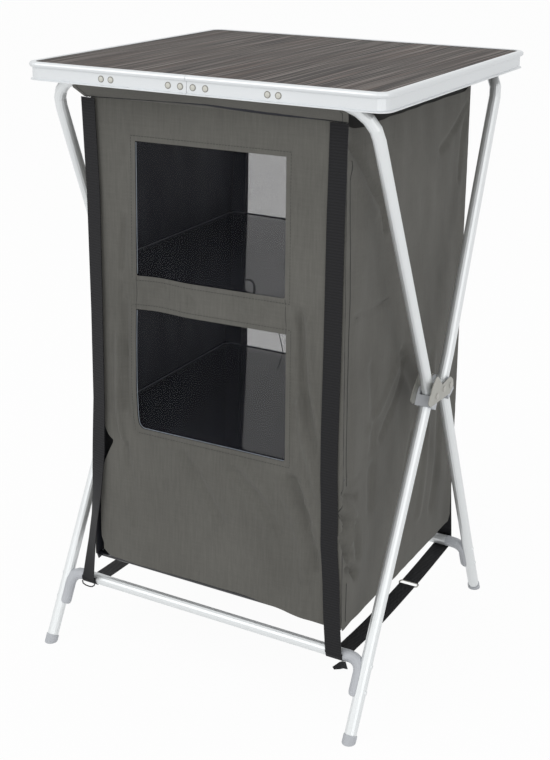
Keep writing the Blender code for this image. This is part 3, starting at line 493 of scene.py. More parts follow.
def finish_with(piece, kind, **settings):
    """Adds a modifier and applies it."""
    pick(piece)
    modifier = piece.modifiers.new(kind.lower(), kind)
    for key, value in settings.items():
        setattr(modifier, key, value)
    bpy.ops.object.modifier_apply(modifier=modifier.name)


def tidy_mesh(piece, *steps):
    """Runs edit-mode steps on everything in a piece."""
    pick(piece)
    bpy.ops.object.mode_set(mode="EDIT")
    bpy.ops.mesh.select_all(action="SELECT")
    for step, settings in steps:
        getattr(bpy.ops.mesh, step)(**settings)
    bpy.ops.object.mode_set(mode="OBJECT")


def spaced(low, high, step):
    """Even places from low up to high, without high itself."""
    count = max(1, round((high - low) / step))
    return [low + (high - low) * i / count for i in range(count)]


def lines(marks, step):
    """Grid lines that pass through every mark, about a step apart."""
    places = []
    for low, high in zip(marks, marks[1:]):
        places += spaced(low, high, step)
    return places + [marks[-1]]


def sheet_of(name, across, along, place, facing=None):
    """A grid whose lines lie at the given values; place(a, b) puts each crossing, facing is its front."""
    bpy.ops.object.select_all(action="DESELECT")
    columns, rows = len(across) - 1, len(along) - 1
    bpy.ops.mesh.primitive_grid_add(x_subdivisions=columns, y_subdivisions=rows, size=1.0)
    piece = bpy.context.object
    piece.name = name
    piece.data.name = name
    for vertex in piece.data.vertices:
        i = round((vertex.co.x + 0.5) * columns)
        j = round((vertex.co.y + 0.5) * rows)
        vertex.co = place(across[i], along[j])
    if facing is not None:
        total = sum((face.normal * face.area for face in piece.data.polygons), Vector())
        if total.dot(Vector(facing)) < 0:
            tidy_mesh(piece, ("flip_normals", {}))
    return piece


def smooth(piece, angle=40.0):
    """Shades a piece smooth, apart from edges sharper than an angle in degrees."""
    pick(piece)
    bpy.ops.object.shade_smooth_by_angle(angle=math.radians(angle))


def dress(piece, *looks):
    """Gives a piece its finishes."""
    piece.data.materials.clear()
    for look in looks:
        piece.data.materials.append(LOOKS[look])


def thicken(piece, thickness, inner=False, offset=-1.0):
    """Gives a sheet its thickness; inner puts its second finish on the inside."""
    finish_with(piece, "SOLIDIFY", thickness=thickness, offset=offset,
                material_offset=1 if inner else 0, use_even_offset=True)


def cut_faces(piece, test):
    """Removes the faces whose middles pass a test."""
    pick(piece)
    bpy.ops.object.mode_set(mode="EDIT")
    bpy.ops.mesh.select_mode(type="FACE")
    bpy.ops.mesh.select_all(action="DESELECT")
    bpy.ops.object.mode_set(mode="OBJECT")
    for face in piece.data.polygons:
        face.select = test(face.center)
    bpy.ops.object.mode_set(mode="EDIT")
    bpy.ops.mesh.delete(type="FACE")
    bpy.ops.mesh.select_mode(type="VERT")
    bpy.ops.object.mode_set(mode="OBJECT")


def close_ends(piece):
    """Fills the open ends of a tube."""
    pick(piece)
    bpy.ops.object.mode_set(mode="EDIT")
    bpy.ops.mesh.select_mode(type="EDGE")
    bpy.ops.mesh.select_all(action="DESELECT")
    bpy.ops.mesh.select_non_manifold()
    bpy.ops.mesh.fill_holes(sides=0)
    bpy.ops.mesh.select_all(action="SELECT")
    bpy.ops.mesh.normals_make_consistent(inside=False)
    bpy.ops.mesh.select_mode(type="VERT")
    bpy.ops.object.mode_set(mode="OBJECT")


def tube(name, points, radius, up, look, closed=False, sides=8):
    """Round stock along a path of points; up is any way that the path never runs."""
    count = len(points)

    def place(turn, index):
        if closed:
            before, after = points[(index - 1) % count], points[(index + 1) % count]
        else:
            before, after = points[max(index - 1, 0)], points[min(index + 1, count - 1)]
        along = (after - before).normalized()
        side = along.cross(Vector(up)).normalized()
        rise = side.cross(along)
        across = side * (radius * math.cos(turn))
        return points[index % count] + across + rise * (radius * math.sin(turn))

    turns = [2 * math.pi * i / sides for i in range(sides + 1)]
    rings = count + 1 if closed else count
    piece = sheet_of(name, turns, list(range(rings)), place)
    tidy_mesh(piece, ("remove_doubles", {"threshold": 1e-6}),
              ("normals_make_consistent", {"inside": False}))
    if not closed:
        close_ends(piece)
    dress(piece, look)
    smooth(piece, 60)
    return piece


def join(name, pieces):
    """Makes one piece of several."""
    bpy.ops.object.select_all(action="DESELECT")
    for piece in pieces:
        piece.select_set(True)
    bpy.context.view_layer.objects.active = pieces[0]
    if len(pieces) > 1:
        bpy.ops.object.join()
    pieces[0].name = name
    pieces[0].data.name = name
    return pieces[0]


def stitch_line(name, points, outward, pitch=0.0046, length=0.0030, thick=0.0007):
    """A row of stitches along a path of points; outward is the way that they stand up."""
    bpy.ops.object.select_all(action="DESELECT")
    bpy.ops.mesh.primitive_cube_add(size=1.0)
    base = bpy.context.object
    base.scale = (length, thick, thick)
    bpy.ops.object.transform_apply(location=False, rotation=False, scale=True)
    finish_with(base, "BEVEL", width=thick * 0.3, segments=1)
    copies = []
    walked = 0.0
    for start, end in zip(points, points[1:]):
        along = end - start
        reach = along.length
        if reach < 1e-6:
            continue
        along.normalize()
        up = Vector(outward)
        side = up.cross(along).normalized()
        up = along.cross(side)
        place = pitch - walked
        while place < reach:
            turn = Matrix((along, side, up)).transposed().to_4x4()
            made = bpy.data.objects.new(name, base.data.copy())
            made.data.transform(Matrix.Translation(start + along * place) @ turn)
            bpy.context.collection.objects.link(made)
            copies.append(made)
            place += pitch
        walked = reach - (place - pitch)
    bpy.data.objects.remove(base, do_unlink=True)
    row = join(name, copies)
    dress(row, "thread")
    return row


def on_cabinet(piece, body="cabinet"):
    """The piece hangs on the cabinet and is attached to its body."""
    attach(piece, body)
    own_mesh(piece)


def on_door(piece):
    on_cabinet(piece, "front_door")


def on_arms(piece, end):
    """The piece is cloth that turns with the upper bar of its end."""
    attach(piece, END_NAMES[end] + "_arms")


def corner_name(side, end):
    return END_NAMES[end] + "_" + SIDE_NAMES[side]


# The camera at the photograph's angle, and the light

SKY_LIGHT = 0.50
FLOOR_GLOW = 0.96
WHITE = (1.0, 1.0, 1.0, 1.0)


def add_camera():
    """The fitted camera: its angles and distance, and where its axis meets the picture."""
    azimuth, elevation, roll = (math.radians(angle) for angle in (30.4358, 17.0793, 0.5058))
    distance, aim = 2.6028, Vector((-0.2716, 0.1814, 0.5))
    focal_pixels, centre_x, centre_y = 1364.298, 195.0, 300.0
    frame_width, frame_height, sensor = 550, 760, 36.0
    back = Vector((math.sin(azimuth) * math.cos(elevation), -math.cos(azimuth) * math.cos(elevation),
                   math.sin(elevation)))
    level = Vector((math.cos(azimuth), math.sin(azimuth), 0.0))
    up = back.cross(level)
    right = level * math.cos(roll) + up * math.sin(roll)
    up = up * math.cos(roll) - level * math.sin(roll)
    data = bpy.data.cameras.new("camera")
    data.sensor_width = sensor
    data.lens = focal_pixels * sensor / frame_height
    data.shift_x = (frame_width / 2 - centre_x) / frame_height
    data.shift_y = (centre_y - frame_height / 2) / frame_height
    camera = bpy.data.objects.new("camera", data)
    turn = Matrix((right, up, back)).transposed().to_4x4()
    camera.matrix_world = Matrix.Translation(aim + back * distance) @ turn
    bpy.context.collection.objects.link(camera)
    bpy.context.scene.camera = camera


def seen_rays(made):
    """1 for the rays that show a surface to the camera, straight, mirrored or through film."""
    rays = made.tree.nodes.new("ShaderNodeLightPath")
    seen = None
    for kind in ("Is Camera Ray", "Is Glossy Ray", "Is Transmission Ray"):
        ray = Wire(made, rays.outputs[kind])
        seen = ray if seen is None else seen.maths("MAXIMUM", seen, ray)
    return seen


def add_floor():
    """A pale floor that keeps a soft shadow."""
    bpy.ops.object.select_all(action="DESELECT")
    bpy.ops.mesh.primitive_plane_add(size=30.0, location=(0, 0, -0.0006))
    floor = bpy.context.object
    floor.name = "studio_floor"
    made = Finish("studio_floor", roughness=0.9, Specular_IOR_Level=0.0)
    made.colour(srgb(252, 252, 252))
    glow = made.node("ShaderNodeEmission", {}, {"Color": WHITE, "Strength": 1.0})
    share = seen_rays(made) * FLOOR_GLOW
    plain = Wire(made, made.shader.outputs[0])
    mixed = made.node("ShaderNodeMixShader", {}, {0: share, 1: plain, 2: glow})
    made.tree.links.new(mixed.socket, made.tree.nodes["Material Output"].inputs["Surface"])
    floor.data.materials.append(made.material)


def add_sky():
    """A white sky that lights gently."""
    world = bpy.data.worlds.new("studio")
    bpy.context.scene.world = world
    world.use_nodes = True
    sky = NodeTree(world.node_tree)
    background = sky.tree.nodes["Background"]
    background.inputs["Color"].default_value = WHITE
    sky.feed(background.inputs["Strength"], seen_rays(sky) * (1.0 - SKY_LIGHT) + SKY_LIGHT)


def add_softbox(name, place, aim, size, power):
    """A square lamp in watts, turned to what it lights."""
    data = bpy.data.lights.new(name, "AREA")
    data.shape = "SQUARE"
    data.size = size
    data.energy = power
    lamp = bpy.data.objects.new(name, data)
    lamp.location = place
    lamp.rotation_mode = "QUATERNION"
    lamp.rotation_quaternion = (Vector(aim) - Vector(place)).to_track_quat("-Z", "Y")
    bpy.context.collection.objects.link(lamp)


add_camera()
add_floor()
add_sky()
add_softbox("key_softbox", place=(-1.6, -3.0, 3.2), aim=(0, 0, 0.55), size=3.2, power=51.0)
add_softbox("side_softbox", place=(3.0, -2.4, 1.7), aim=(0, 0, 0.5), size=3.4, power=31.0)
add_softbox("top_softbox", place=(0.2, 1.0, 3.6), aim=(0, 0, 0.9), size=2.0, power=8.0)
bpy.context.scene.view_settings.view_transform = "Standard"


# The door: a hanging panel with two hemmed windows

HEM = 0.010
DOOR_HALF = 0.245
STITCH_INSET = 0.0022

# The door's free left edge at each height: behind the strap above, drawn in lower down
DOOR_LEFT = ((0.166, -0.2020), (0.172, -0.2055), (0.182, -0.2068), (0.250, -0.2065), (0.305, -0.2055),
             (0.330, -0.2010), (0.347, -0.1945), (0.367, -0.1855), (0.380, -0.1790), (0.3835, -0.1785),
             (0.3875, -0.1850), (0.394, -0.1895), (0.400, -0.1925), (0.412, -0.1985), (0.440, -0.2060))

# Where the windows' edges hang, at each height, and how far their corners hang from level
WINDOW_LEFT = ((0.416, -0.1270), (0.432, -0.1300), (0.487, -0.1325), (0.560, -0.1318), (0.618, -0.1303),
               (0.673, -0.1290), (0.887, -0.1285))
WINDOW_RIGHT = ((0.4175, 0.1370), (0.623, 0.1340), (0.678, 0.1310), (0.890, 0.1285))
HANG_LEFT = ((0.300, 0.0), (0.414, 0.0020), (0.616, 0.0020), (0.674, -0.0010), (0.887, 0.0),
             (0.947, 0.0))
HANG_RIGHT = ((0.300, 0.0), (0.414, 0.0035), (0.616, 0.0070), (0.674, 0.0040), (0.887, 0.0030),
              (0.947, 0.0))

# The door's folds: height, reach, and path as (side to side, height) points
DOOR_FOLDS = (
    (-0.0080, 0.017, ((0.1450, 0.3900), (0.1650, 0.3550), (0.1900, 0.2950), (0.2000, 0.2500))),
    (0.0050, 0.014, ((0.1650, 0.3850), (0.1850, 0.3350), (0.1980, 0.2900))),
    (0.0045, 0.016, ((0.1200, 0.3850), (0.1400, 0.3450), (0.1650, 0.2850), (0.1750, 0.2300))),
    (-0.0070, 0.015, ((0.1570, 0.6550), (0.1640, 0.5500), (0.1790, 0.4750), (0.1980, 0.4350))),
    (0.0045, 0.013, ((0.1740, 0.6450), (0.1820, 0.5400), (0.1960, 0.4900))),
    (0.0060, 0.013, ((0.1530, 0.5200), (0.1600, 0.4700), (0.1790, 0.4200), (0.1960, 0.3800))),
    (-0.0045, 0.014, ((-0.0493, 0.3868), (-0.0023, 0.3249), (0.0200, 0.2900))),
    (-0.0045, 0.014, ((0.0424, 0.3789), (0.0877, 0.3421), (0.1200, 0.3000))),
    (0.0030, 0.012, ((0.0650, 0.3860), (0.1080, 0.3450))),
    (-0.0040, 0.016, ((-0.1600, 0.7600), (-0.1680, 0.6400), (-0.1600, 0.5400))),
    (-0.0045, 0.022, ((-0.1530, 0.4480), (-0.1480, 0.5400), (-0.1530, 0.6200))),
    (0.0090, 0.026, ((-0.1930, 0.4000), (-0.1850, 0.4700), (-0.1760, 0.5600))),
    (-0.0030, 0.016, ((-0.1780, 0.3780), (-0.1500, 0.3200), (-0.1400, 0.2300))),
    (-0.0034, 0.012, ((-0.0850, 0.6700), (-0.0860, 0.6200))),
    (-0.0030, 0.012, ((-0.0300, 0.6700), (-0.0310, 0.6200))),
    (-0.0030, 0.012, ((0.0500, 0.6740), (0.0510, 0.6220))),
    (-0.0034, 0.012, ((0.0950, 0.6760), (0.0940, 0.6240))),
)


def door_right_edge(z):
    """The edge lies just inside the right wall, and the wall's folds draw it along."""
    inset, drawn_along = 0.0019, 0.7
    return half_width(z) - inset + drawn_along * folded(WALL_FOLDS, -half_depth(z), z)


def door_bottom(x):
    """The bottom hem: the left corner is rounded up, and the right one hangs lower."""
    level, right_drop, left_rise = 0.1672, 0.0102, 0.014
    return level - right_drop * ease((x - 0.06) / 0.15) + left_rise * ease((-0.178 - x) / 0.03) ** 2


def near_window(x, z):
    """How far a point of the flat door is from the nearest window's edge, and below 0 inside it."""
    windows = (UPPER_WINDOW, LOWER_WINDOW)
    return min(max(abs(x) - WINDOW_HALF_WIDTH, low - z, z - high) for low, high in windows)


def held_out(relief, z):
    """Keeps cloth from hanging inside the shelves' edges."""
    tops, reach, deepest = (FLOOR_TOP, LOWER_SHELF_TOP, UPPER_SHELF_TOP), 0.018, -0.0004
    held = max(hump(z, top - SHELF_THICKNESS / 2, reach) for top in tops)
    return relief + held * (max(relief, deepest) - relief)


def door_relief(x, z):
    """How far the door stands out from its plane: slack and folds, and flat under the straps."""
    slack_margin, fold_margin = 0.044, 0.030 if x > 0 else 0.036
    slack = ease((half_width(z) - slack_margin - abs(x)) / 0.03)
    loose = ease((0.42 - z) / 0.10)
    hang_depth, crease_depth, pull_depth = 0.0022, 0.0009, 0.0014
    hang = ripple(x * 2.2, 0.0, z * 0.55, size=0.085, seed=3.1) * hang_depth
    creases = ripple(x + z * 0.8, 0.0, z * 0.25, size=0.035, seed=7.7) * crease_depth
    pulls = math.sin(3.0 * math.pi * (x + 0.55 * (z - 0.30)) / 0.42) * pull_depth * loose
    free = ease((half_width(z) - fold_margin - abs(x)) / 0.020)
    return held_out((hang + creases + pulls) * slack + folded(DOOR_FOLDS, x, z) * free, z)


def settle(a, z):
    """Where a point of the flat door hangs, with its windows' edges and its own drawn as they are."""
    margin = WINDOW_HALF_WIDTH + HEM
    left = between(WINDOW_LEFT, z) + WINDOW_HALF_WIDTH
    right = between(WINDOW_RIGHT, z) - WINDOW_HALF_WIDTH
    share = max(0.0, min(1.0, (a + WINDOW_HALF_WIDTH) / (2 * WINDOW_HALF_WIDTH)))
    x = a + left + (right - left) * share
    if a < -margin:
        inner = left - margin
        x = inner + (a + margin) / (margin - DOOR_HALF) * (between(DOOR_LEFT, z) - inner)
    elif a > margin:
        inner = right + margin
        x = inner + (a - margin) / (DOOR_HALF - margin) * (door_right_edge(z) - inner)
    lift = between(HANG_LEFT, z) * (1 - share) + between(HANG_RIGHT, z) * share
    lift *= ease((DOOR_HALF - abs(a)) / 0.09)
    strip_rise, strip_z = 0.0033, 0.645
    lift += strip_rise * hump(a, -0.09, 0.06) * hump(z, strip_z, 0.08)
    drop = ease((0.30 - z) / (0.30 - CABINET_BOTTOM)) * (door_bottom(x) - CABINET_BOTTOM)
    return x, z + lift + drop


def door_surface(a, z):
    """The door's outer face at a point of the flat door; the windows' hems stand up a little."""
    hem_rise, fold_start = 0.0009, 0.016
    gap = near_window(a, z)
    hung_x, hung_z = settle(a, z)
    out = half_depth(hung_z) + door_relief(a, z) * ease((gap - HEM) / fold_start)
    out += hem_rise * ease((HEM + 0.001 - gap) / 0.002)
    return Vector((hung_x, -out, hung_z))


def rounded_corner(a, z):
    """Rounds the windows' bottom corners, the lower window's left one most."""
    slip = 0.0004
    for side, low, radius in ((LEFT, LOWER_WINDOW[0], 0.010), (RIGHT, LOWER_WINDOW[0], 0.005),
                              (LEFT, UPPER_WINDOW[0], 0.003), (RIGHT, UPPER_WINDOW[0], 0.003)):
        inward = WINDOW_HALF_WIDTH - side * a
        upward = z - low
        if -slip <= inward < radius and -slip <= upward < radius:
            corner = Vector((side * (WINDOW_HALF_WIDTH - radius), low + radius))
            offset = Vector((a, z)) - corner
            if offset.length > radius:
                return tuple(corner + offset.normalized() * radius)
    return a, z


def build_door():
    window = WINDOW_HALF_WIDTH
    across = lines((-DOOR_HALF, -window - HEM - 0.001, -window - HEM + 0.001, -window, window,
                    window + HEM - 0.001, window + HEM + 0.001, DOOR_HALF), 0.0040)
    along = lines((CABINET_BOTTOM, LOWER_WINDOW[0] - HEM, LOWER_WINDOW[0], LOWER_WINDOW[1],
                   LOWER_WINDOW[1] + HEM, UPPER_WINDOW[0] - HEM, UPPER_WINDOW[0], UPPER_WINDOW[1],
                   UPPER_WINDOW[1] + HEM, CABINET_TOP + 0.003), 0.0050)
    door = sheet_of("door_panel", across, along, lambda a, z: Vector((a, 0, z)), (0, -1, 0))
    cut_faces(door, lambda middle: near_window(middle.x, middle.z) < -0.0003)
    for vertex in door.data.vertices:
        vertex.co = door_surface(*rounded_corner(vertex.co.x, vertex.co.z))
    # The door's inner side is dark cloth, as painted shade.
    dress(door, "cloth", "painted_shade")
    thicken(door, CLOTH, inner=True)
    smooth(door)
    on_door(door)
    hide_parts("door")


def film_place(a, z):
    """A point of the window film, close behind the door."""
    x, hung_z = settle(a, z)
    behind, wave_depth = 0.0007, 0.0006
    wave = wave_depth * ripple(x, 0.0, z, size=0.09, seed=5.0)
    return Vector((x, -half_depth(z) + CLOTH + behind + wave, hung_z))


def build_window(name, node, span):
    """Clear film that reaches under the window's hem."""
    lap = 0.008
    reach = WINDOW_HALF_WIDTH + lap
    low, high = span[0] - lap, span[1] + lap
    film = sheet_of(name, lines((-reach, reach), 0.01), lines((low, high), 0.01), film_place, (0, -1, 0))
    dress(film, "window")
    thicken(film, 0.0004)
    smooth(film)
    on_door(film)
    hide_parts(node)


def build_film_highlights(name, span, corner, bottom):
    """The film's cut edge inside the left hem, and the bottom one where it gapes, painted pale as a
    highlight.
    """
    width, proud, short = 0.0011, 0.0004, 0.002
    left, low = -WINDOW_HALF_WIDTH, span[0]
    path = [(left, z, 1, 0) for z in reversed(lines((low + corner, span[1] - short), 0.01))]
    if bottom:
        for turn in (math.radians(15 * i) for i in range(1, 6)):
            across, up = math.cos(turn), math.sin(turn)
            path.append((left + corner - corner * across, low + corner - corner * up, across, up))
        path += [(a, low, 0, 1) for a in lines((left + corner, -left - short), 0.01)]

    def place(inward, index):
        a, z, across, up = path[index]
        return film_place(a, z) + Vector((inward * across, -proud, inward * up))

    edge = sheet_of(name, [0.0, width], list(range(len(path))), place, (0, -1, 0))
    # Pale colour as a painted highlight on the film's edge.
    dress(edge, "film_edge_highlight")
    thicken(edge, 0.0003)
    on_door(edge)


def build_tie_loop():
    """A black cord loop that hangs inside the upper window."""
    bends = ((0.0620, 0.6955), (0.0690, 0.6958), (0.0740, 0.6928), (0.0765, 0.6870), (0.0767, 0.6804),
             (0.0745, 0.6735))
    behind, radius = 0.0055, 0.0019
    points = [Vector((x, -half_depth(z) + behind, z)) for x, z in bends]
    on_door(tube("tie_loop", points, radius, (0, 1, 0), "wire"))


def build_window_stitches():
    """Stitches round both windows, a little way out from their edges."""
    for name, (low, high) in (("upper", UPPER_WINDOW), ("lower", LOWER_WINDOW)):
        reach = WINDOW_HALF_WIDTH + HEM - STITCH_INSET
        low, high = low - HEM + STITCH_INSET, high + HEM - STITCH_INSET
        corners = ((-reach, low), (-reach, high), (reach, high), (reach, low), (-reach, low))
        points = []
        for (x0, z0), (x1, z1) in zip(corners, corners[1:]):
            points += [door_surface(x0 + (x1 - x0) * i / 40, z0 + (z1 - z0) * i / 40) for i in range(40)]
        row = stitch_line(name + "_window_stitches", points, (0, -1, 0), pitch=0.0050, length=0.0032,
                          thick=0.0006)
        on_door(row)


def build_strip_seams():
    """The seams at both ends of the strip between the windows."""
    heights = lines((LOWER_WINDOW[1] + 0.001, UPPER_WINDOW[0] - 0.001), 0.005)
    for side in (LEFT, RIGHT):
        points = [door_surface(side * WINDOW_HALF_WIDTH, z) for z in heights]
        seam = tube(SIDE_NAMES[side] + "_strip_seam", points, 0.0004, (1, 0, 0), "thread", sides=6)
        on_door(seam)


# Side walls, back and net

# How far out the left wall's front edge hangs, at each height: drawn in behind its strap
DRAWN_IN = ((0.154, 0.2190), (0.250, 0.2175), (0.350, 0.2135), (0.450, 0.2105), (0.850, 0.2105),
            (0.947, 0.2215))

# The walls' top edge sags below the bars; the bottom edge dips at the front corner and to the rear
TOP_EDGE = ((-0.246, 0.9430), (-0.225, 0.9365), (-0.198, 0.9345), (-0.094, 0.9355), (0.102, 0.9345),
            (0.225, 0.9335), (0.240, 0.9440), (0.246, 0.9460))
BOTTOM_EDGE = ((-0.2345, 0.1525), (-0.2290, 0.1520), (-0.2220, 0.1528), (-0.2000, 0.1560),
               (0.2400, 0.1490))

# The walls' folds: height, reach, and path as (front to rear, height) points
WALL_FOLDS = (
    (-0.0065, 0.012, ((-0.2300, 0.9200), (-0.2156, 0.9050), (-0.1752, 0.8548), (-0.1262, 0.8098),
                      (-0.1100, 0.7700))),
    (0.0040, 0.014, ((-0.2340, 0.8900), (-0.2000, 0.8450), (-0.1500, 0.8000))),
    (-0.0050, 0.011, ((0.2362, 0.9174), (0.1766, 0.8789), (0.1126, 0.8525))),
    (-0.0045, 0.012, ((0.2362, 0.9000), (0.2120, 0.8500), (0.2050, 0.7900))),
    (-0.0075, 0.022, ((-0.0300, 0.5450), (-0.0140, 0.5263), (0.0208, 0.4914), (0.0619, 0.4519))),
    (-0.0045, 0.014, ((-0.0140, 0.5263), (-0.0600, 0.4700), (-0.1000, 0.4300))),
    (0.0035, 0.014, ((-0.0500, 0.5400), (-0.1000, 0.4900), (-0.1500, 0.4600))),
    (-0.0120, 0.011, ((-0.2434, 0.3594), (-0.2200, 0.3344), (-0.2351, 0.3127), (-0.2180, 0.2750))),
    (-0.0100, 0.009, ((-0.2200, 0.2560), (-0.2050, 0.2480), (-0.1930, 0.2330))),
    (0.0045, 0.010, ((-0.2250, 0.3680), (-0.2000, 0.3380), (-0.2100, 0.2980))),
    (-0.0055, 0.008, ((-0.2380, 0.3860), (-0.2120, 0.3760), (-0.1950, 0.3690))),
    (-0.0060, 0.012, ((-0.1950, 0.3200), (-0.1850, 0.2650))),
    (-0.0024, 0.006, ((-0.2131, 0.6587), (-0.0856, 0.6498))),
    (-0.0024, 0.006, ((-0.2204, 0.3991), (-0.1782, 0.3976))),
    (-0.0045, 0.020, ((-0.1500, 0.5600), (-0.1300, 0.4500), (-0.1400, 0.3300))),
    (-0.0045, 0.020, ((0.1700, 0.4600), (0.1500, 0.3300), (0.1300, 0.2200))),
    (0.0040, 0.018, ((0.1100, 0.5000), (0.0950, 0.3600), (0.0700, 0.2300))),
    (-0.0040, 0.016, ((0.0300, 0.3900), (-0.0200, 0.2900), (-0.0600, 0.2100))),
)

# The back's opening for the net
MESH_HALF = 0.188
MESH_LOW, MESH_HIGH = 0.204, 0.917
BACK_HALF = 0.24


def wall_x(side, y, z):
    """How far out a wall's plane is."""
    if side == RIGHT:
        front_inset = 0.0025
        return half_width(z) - front_inset * ease((-0.20 - y) / 0.04)
    share = ease((-0.04 - y) / 0.19)
    return half_width(z) + share * (between(DRAWN_IN, z) - half_width(z))


def wall_relief(side, y, z):
    """How far a side wall hangs out: full between the shelves, with folds near its edges."""
    bulge_depth, hang_depth, crease_depth, edge_share = 0.0040, 0.0026, 0.0010, 0.7
    fullness = max(0.0, 1 - (y / half_depth(z)) ** 4)
    levels = (FLOOR_TOP, LOWER_SHELF_TOP, UPPER_SHELF_TOP, CABINET_TOP)
    bulge = 0.0
    for low, high in zip(levels, levels[1:]):
        if low < z < high:
            bulge = bulge_depth * math.sin(math.pi * (z - low) / (high - low)) ** 2
    hang = ripple(side * 3.0, y * 1.6, z * 0.5, size=0.07, seed=1.3) * hang_depth
    creases = ripple(0.0, y + 0.5 * z, z * 0.3, size=0.03, seed=4.4) * crease_depth
    folds = folded(WALL_FOLDS, y, z) if side == RIGHT else 0.0
    sewn = ease((half_depth(z) - abs(y)) / 0.016)
    fold_share = max(sewn, edge_share if y < 0 else 0.0)
    return held_out(bulge * fullness + (hang + creases) * sewn + folds * fold_share, z)


def wall_surface(side, share, z):
    """A wall's outer face: share runs from -1 at the front to 1 at the rear."""
    sag_start, rise_start, edge_inset, corner_inset, rear_hem = 0.860, 0.230, 0.0006, 0.006, 0.0008
    corner = ease((z - CABINET_BOTTOM) / 0.02)
    y = share * (half_depth(z) - edge_inset - corner_inset * (1 - corner) ** 2)
    x = wall_x(side, y, z) + wall_relief(side, y, z) + rear_hem * ease((y - 0.230) / 0.002)
    sag = (between(TOP_EDGE, y) - CABINET_TOP) * ease((z - sag_start) / (CABINET_TOP - sag_start))
    near_bottom = ease((rise_start - z) / (rise_start - CABINET_BOTTOM))
    rise = (between(BOTTOM_EDGE, y) - CABINET_BOTTOM) * near_bottom
    return Vector((side * x, y, z + sag + rise))


def build_side_wall(side):
    wall = sheet_of(SIDE_NAMES[side] + "_cloth_wall", lines((-1.0, 1.0), 0.0250),
                    lines((CABINET_BOTTOM, CABINET_TOP), 0.0058),
                    lambda share, z: wall_surface(side, share, z), (side, 0, 0))
    # The wall's inner side is dark cloth, as painted shade.
    dress(wall, "cloth", "painted_shade")
    thicken(wall, CLOTH, inner=True)
    smooth(wall)
    on_cabinet(wall)
    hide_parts(SIDE_NAMES[side] + "_wall")


def build_wall_seams(side):
    """Short stitched lines at the shelves, and the front seam, hidden by folds between its two runs."""
    for part, start, end, z in (("upper", -0.87, -0.35, 0.6545), ("lower", -0.93, -0.75, 0.3985)):
        points = [wall_surface(side, start + (end - start) * i / 30, z) for i in range(31)]
        row = stitch_line(SIDE_NAMES[side] + "_" + part + "_seam", points, (side, 0, 0), thick=0.0005)
        on_cabinet(row)

    # The front seam is dark cloth: a painted shadow line along the seam.
    seam_share, seam_radius = -0.945, 0.0007
    runs = (("upper", LOWER_SHELF_TOP - 0.015, 0.895), ("lower", CABINET_BOTTOM + 0.012, 0.232))
    for part, low, high in runs:
        points = [wall_surface(side, seam_share, z) for z in lines((low, high), 0.008)]
        name = "_".join((SIDE_NAMES[side], "front", part, "seam"))
        on_cabinet(tube(name, points, seam_radius, (1, 0, 0), "shade_strip", sides=6))


def build_top_margin(side):
    """The wall's top margin, turned in under the table top, in dark cloth that paints the shade under the
    rim.
    """
    width, inner_z, inset = 0.030, 0.9535, 0.0006

    def place(share, part):
        edge = wall_surface(side, share, CABINET_TOP)
        inner = Vector((side * (abs(edge.x) - width), edge.y, inner_z))
        return edge.lerp(inner, part) + Vector((-side * inset, 0.0, 0.0))

    margin = sheet_of(SIDE_NAMES[side] + "_top_margin", lines((-0.99, 0.99), 0.025),
                      [i / 4 for i in range(5)], place, (0, 0, 1))
    # Dark cloth as painted shade under the rim.
    dress(margin, "shade_strip")
    thicken(margin, 0.0008)
    smooth(margin)
    on_cabinet(margin)


def build_welt(side, end):
    """The sewn corner where a wall meets the door or the back: a thin folded welt, dark as a painted shade
    line along the seam.
    """
    inset, wobble_depth, radius = 0.0012, 0.0004, 0.0010
    points = []
    for z in lines((CABINET_BOTTOM + 0.010, CABINET_TOP - 0.012), 0.010):
        y = end * (half_depth(z) - inset)
        wobble = wobble_depth * ripple(z * 4, side, end, size=0.05, seed=2.2)
        out = wall_x(side, y, z) + wall_relief(side, y, z) + wobble
        points.append(Vector((side * out, y, z)))
    welt = tube(corner_name(side, end) + "_welt", points, radius, (1, 0, 0), "shade_strip")
    on_cabinet(welt)


def opening_half(z):
    """Half the width of the back's opening, which is a little wider at the top."""
    flare, level = 0.025, 0.457
    return MESH_HALF + flare * (z - level)


def build_back():
    edge_inset, wave_depth = 0.0004, 0.0015
    across = lines((-BACK_HALF, -MESH_HALF, MESH_HALF, BACK_HALF), 0.011)
    along = lines((CABINET_BOTTOM, MESH_LOW, MESH_HIGH, CABINET_TOP - 0.002), 0.012)
    back = sheet_of("back_cloth", across, along, lambda a, z: Vector((a, 0, z)), (0, 1, 0))
    cut_faces(back, lambda middle: abs(middle.x) < MESH_HALF and MESH_LOW < middle.z < MESH_HIGH)
    for vertex in back.data.vertices:
        a, z = vertex.co.x, vertex.co.z
        beyond = max(0.0, abs(a) - MESH_HALF) / (BACK_HALF - MESH_HALF)
        inner = min(abs(a), MESH_HALF) / MESH_HALF * opening_half(z)
        x = inner + beyond * (half_width(z) - edge_inset - opening_half(z))
        wave = ripple(x, 1.0, z, size=0.09, seed=6.0) * wave_depth
        vertex.co = (math.copysign(x, a), half_depth(z) + wave, z)
    # The back's inner side is dark cloth, as painted shade.
    dress(back, "cloth", "painted_shade")
    thicken(back, CLOTH, inner=True)
    smooth(back)
    on_cabinet(back)
    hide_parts("back_wall")


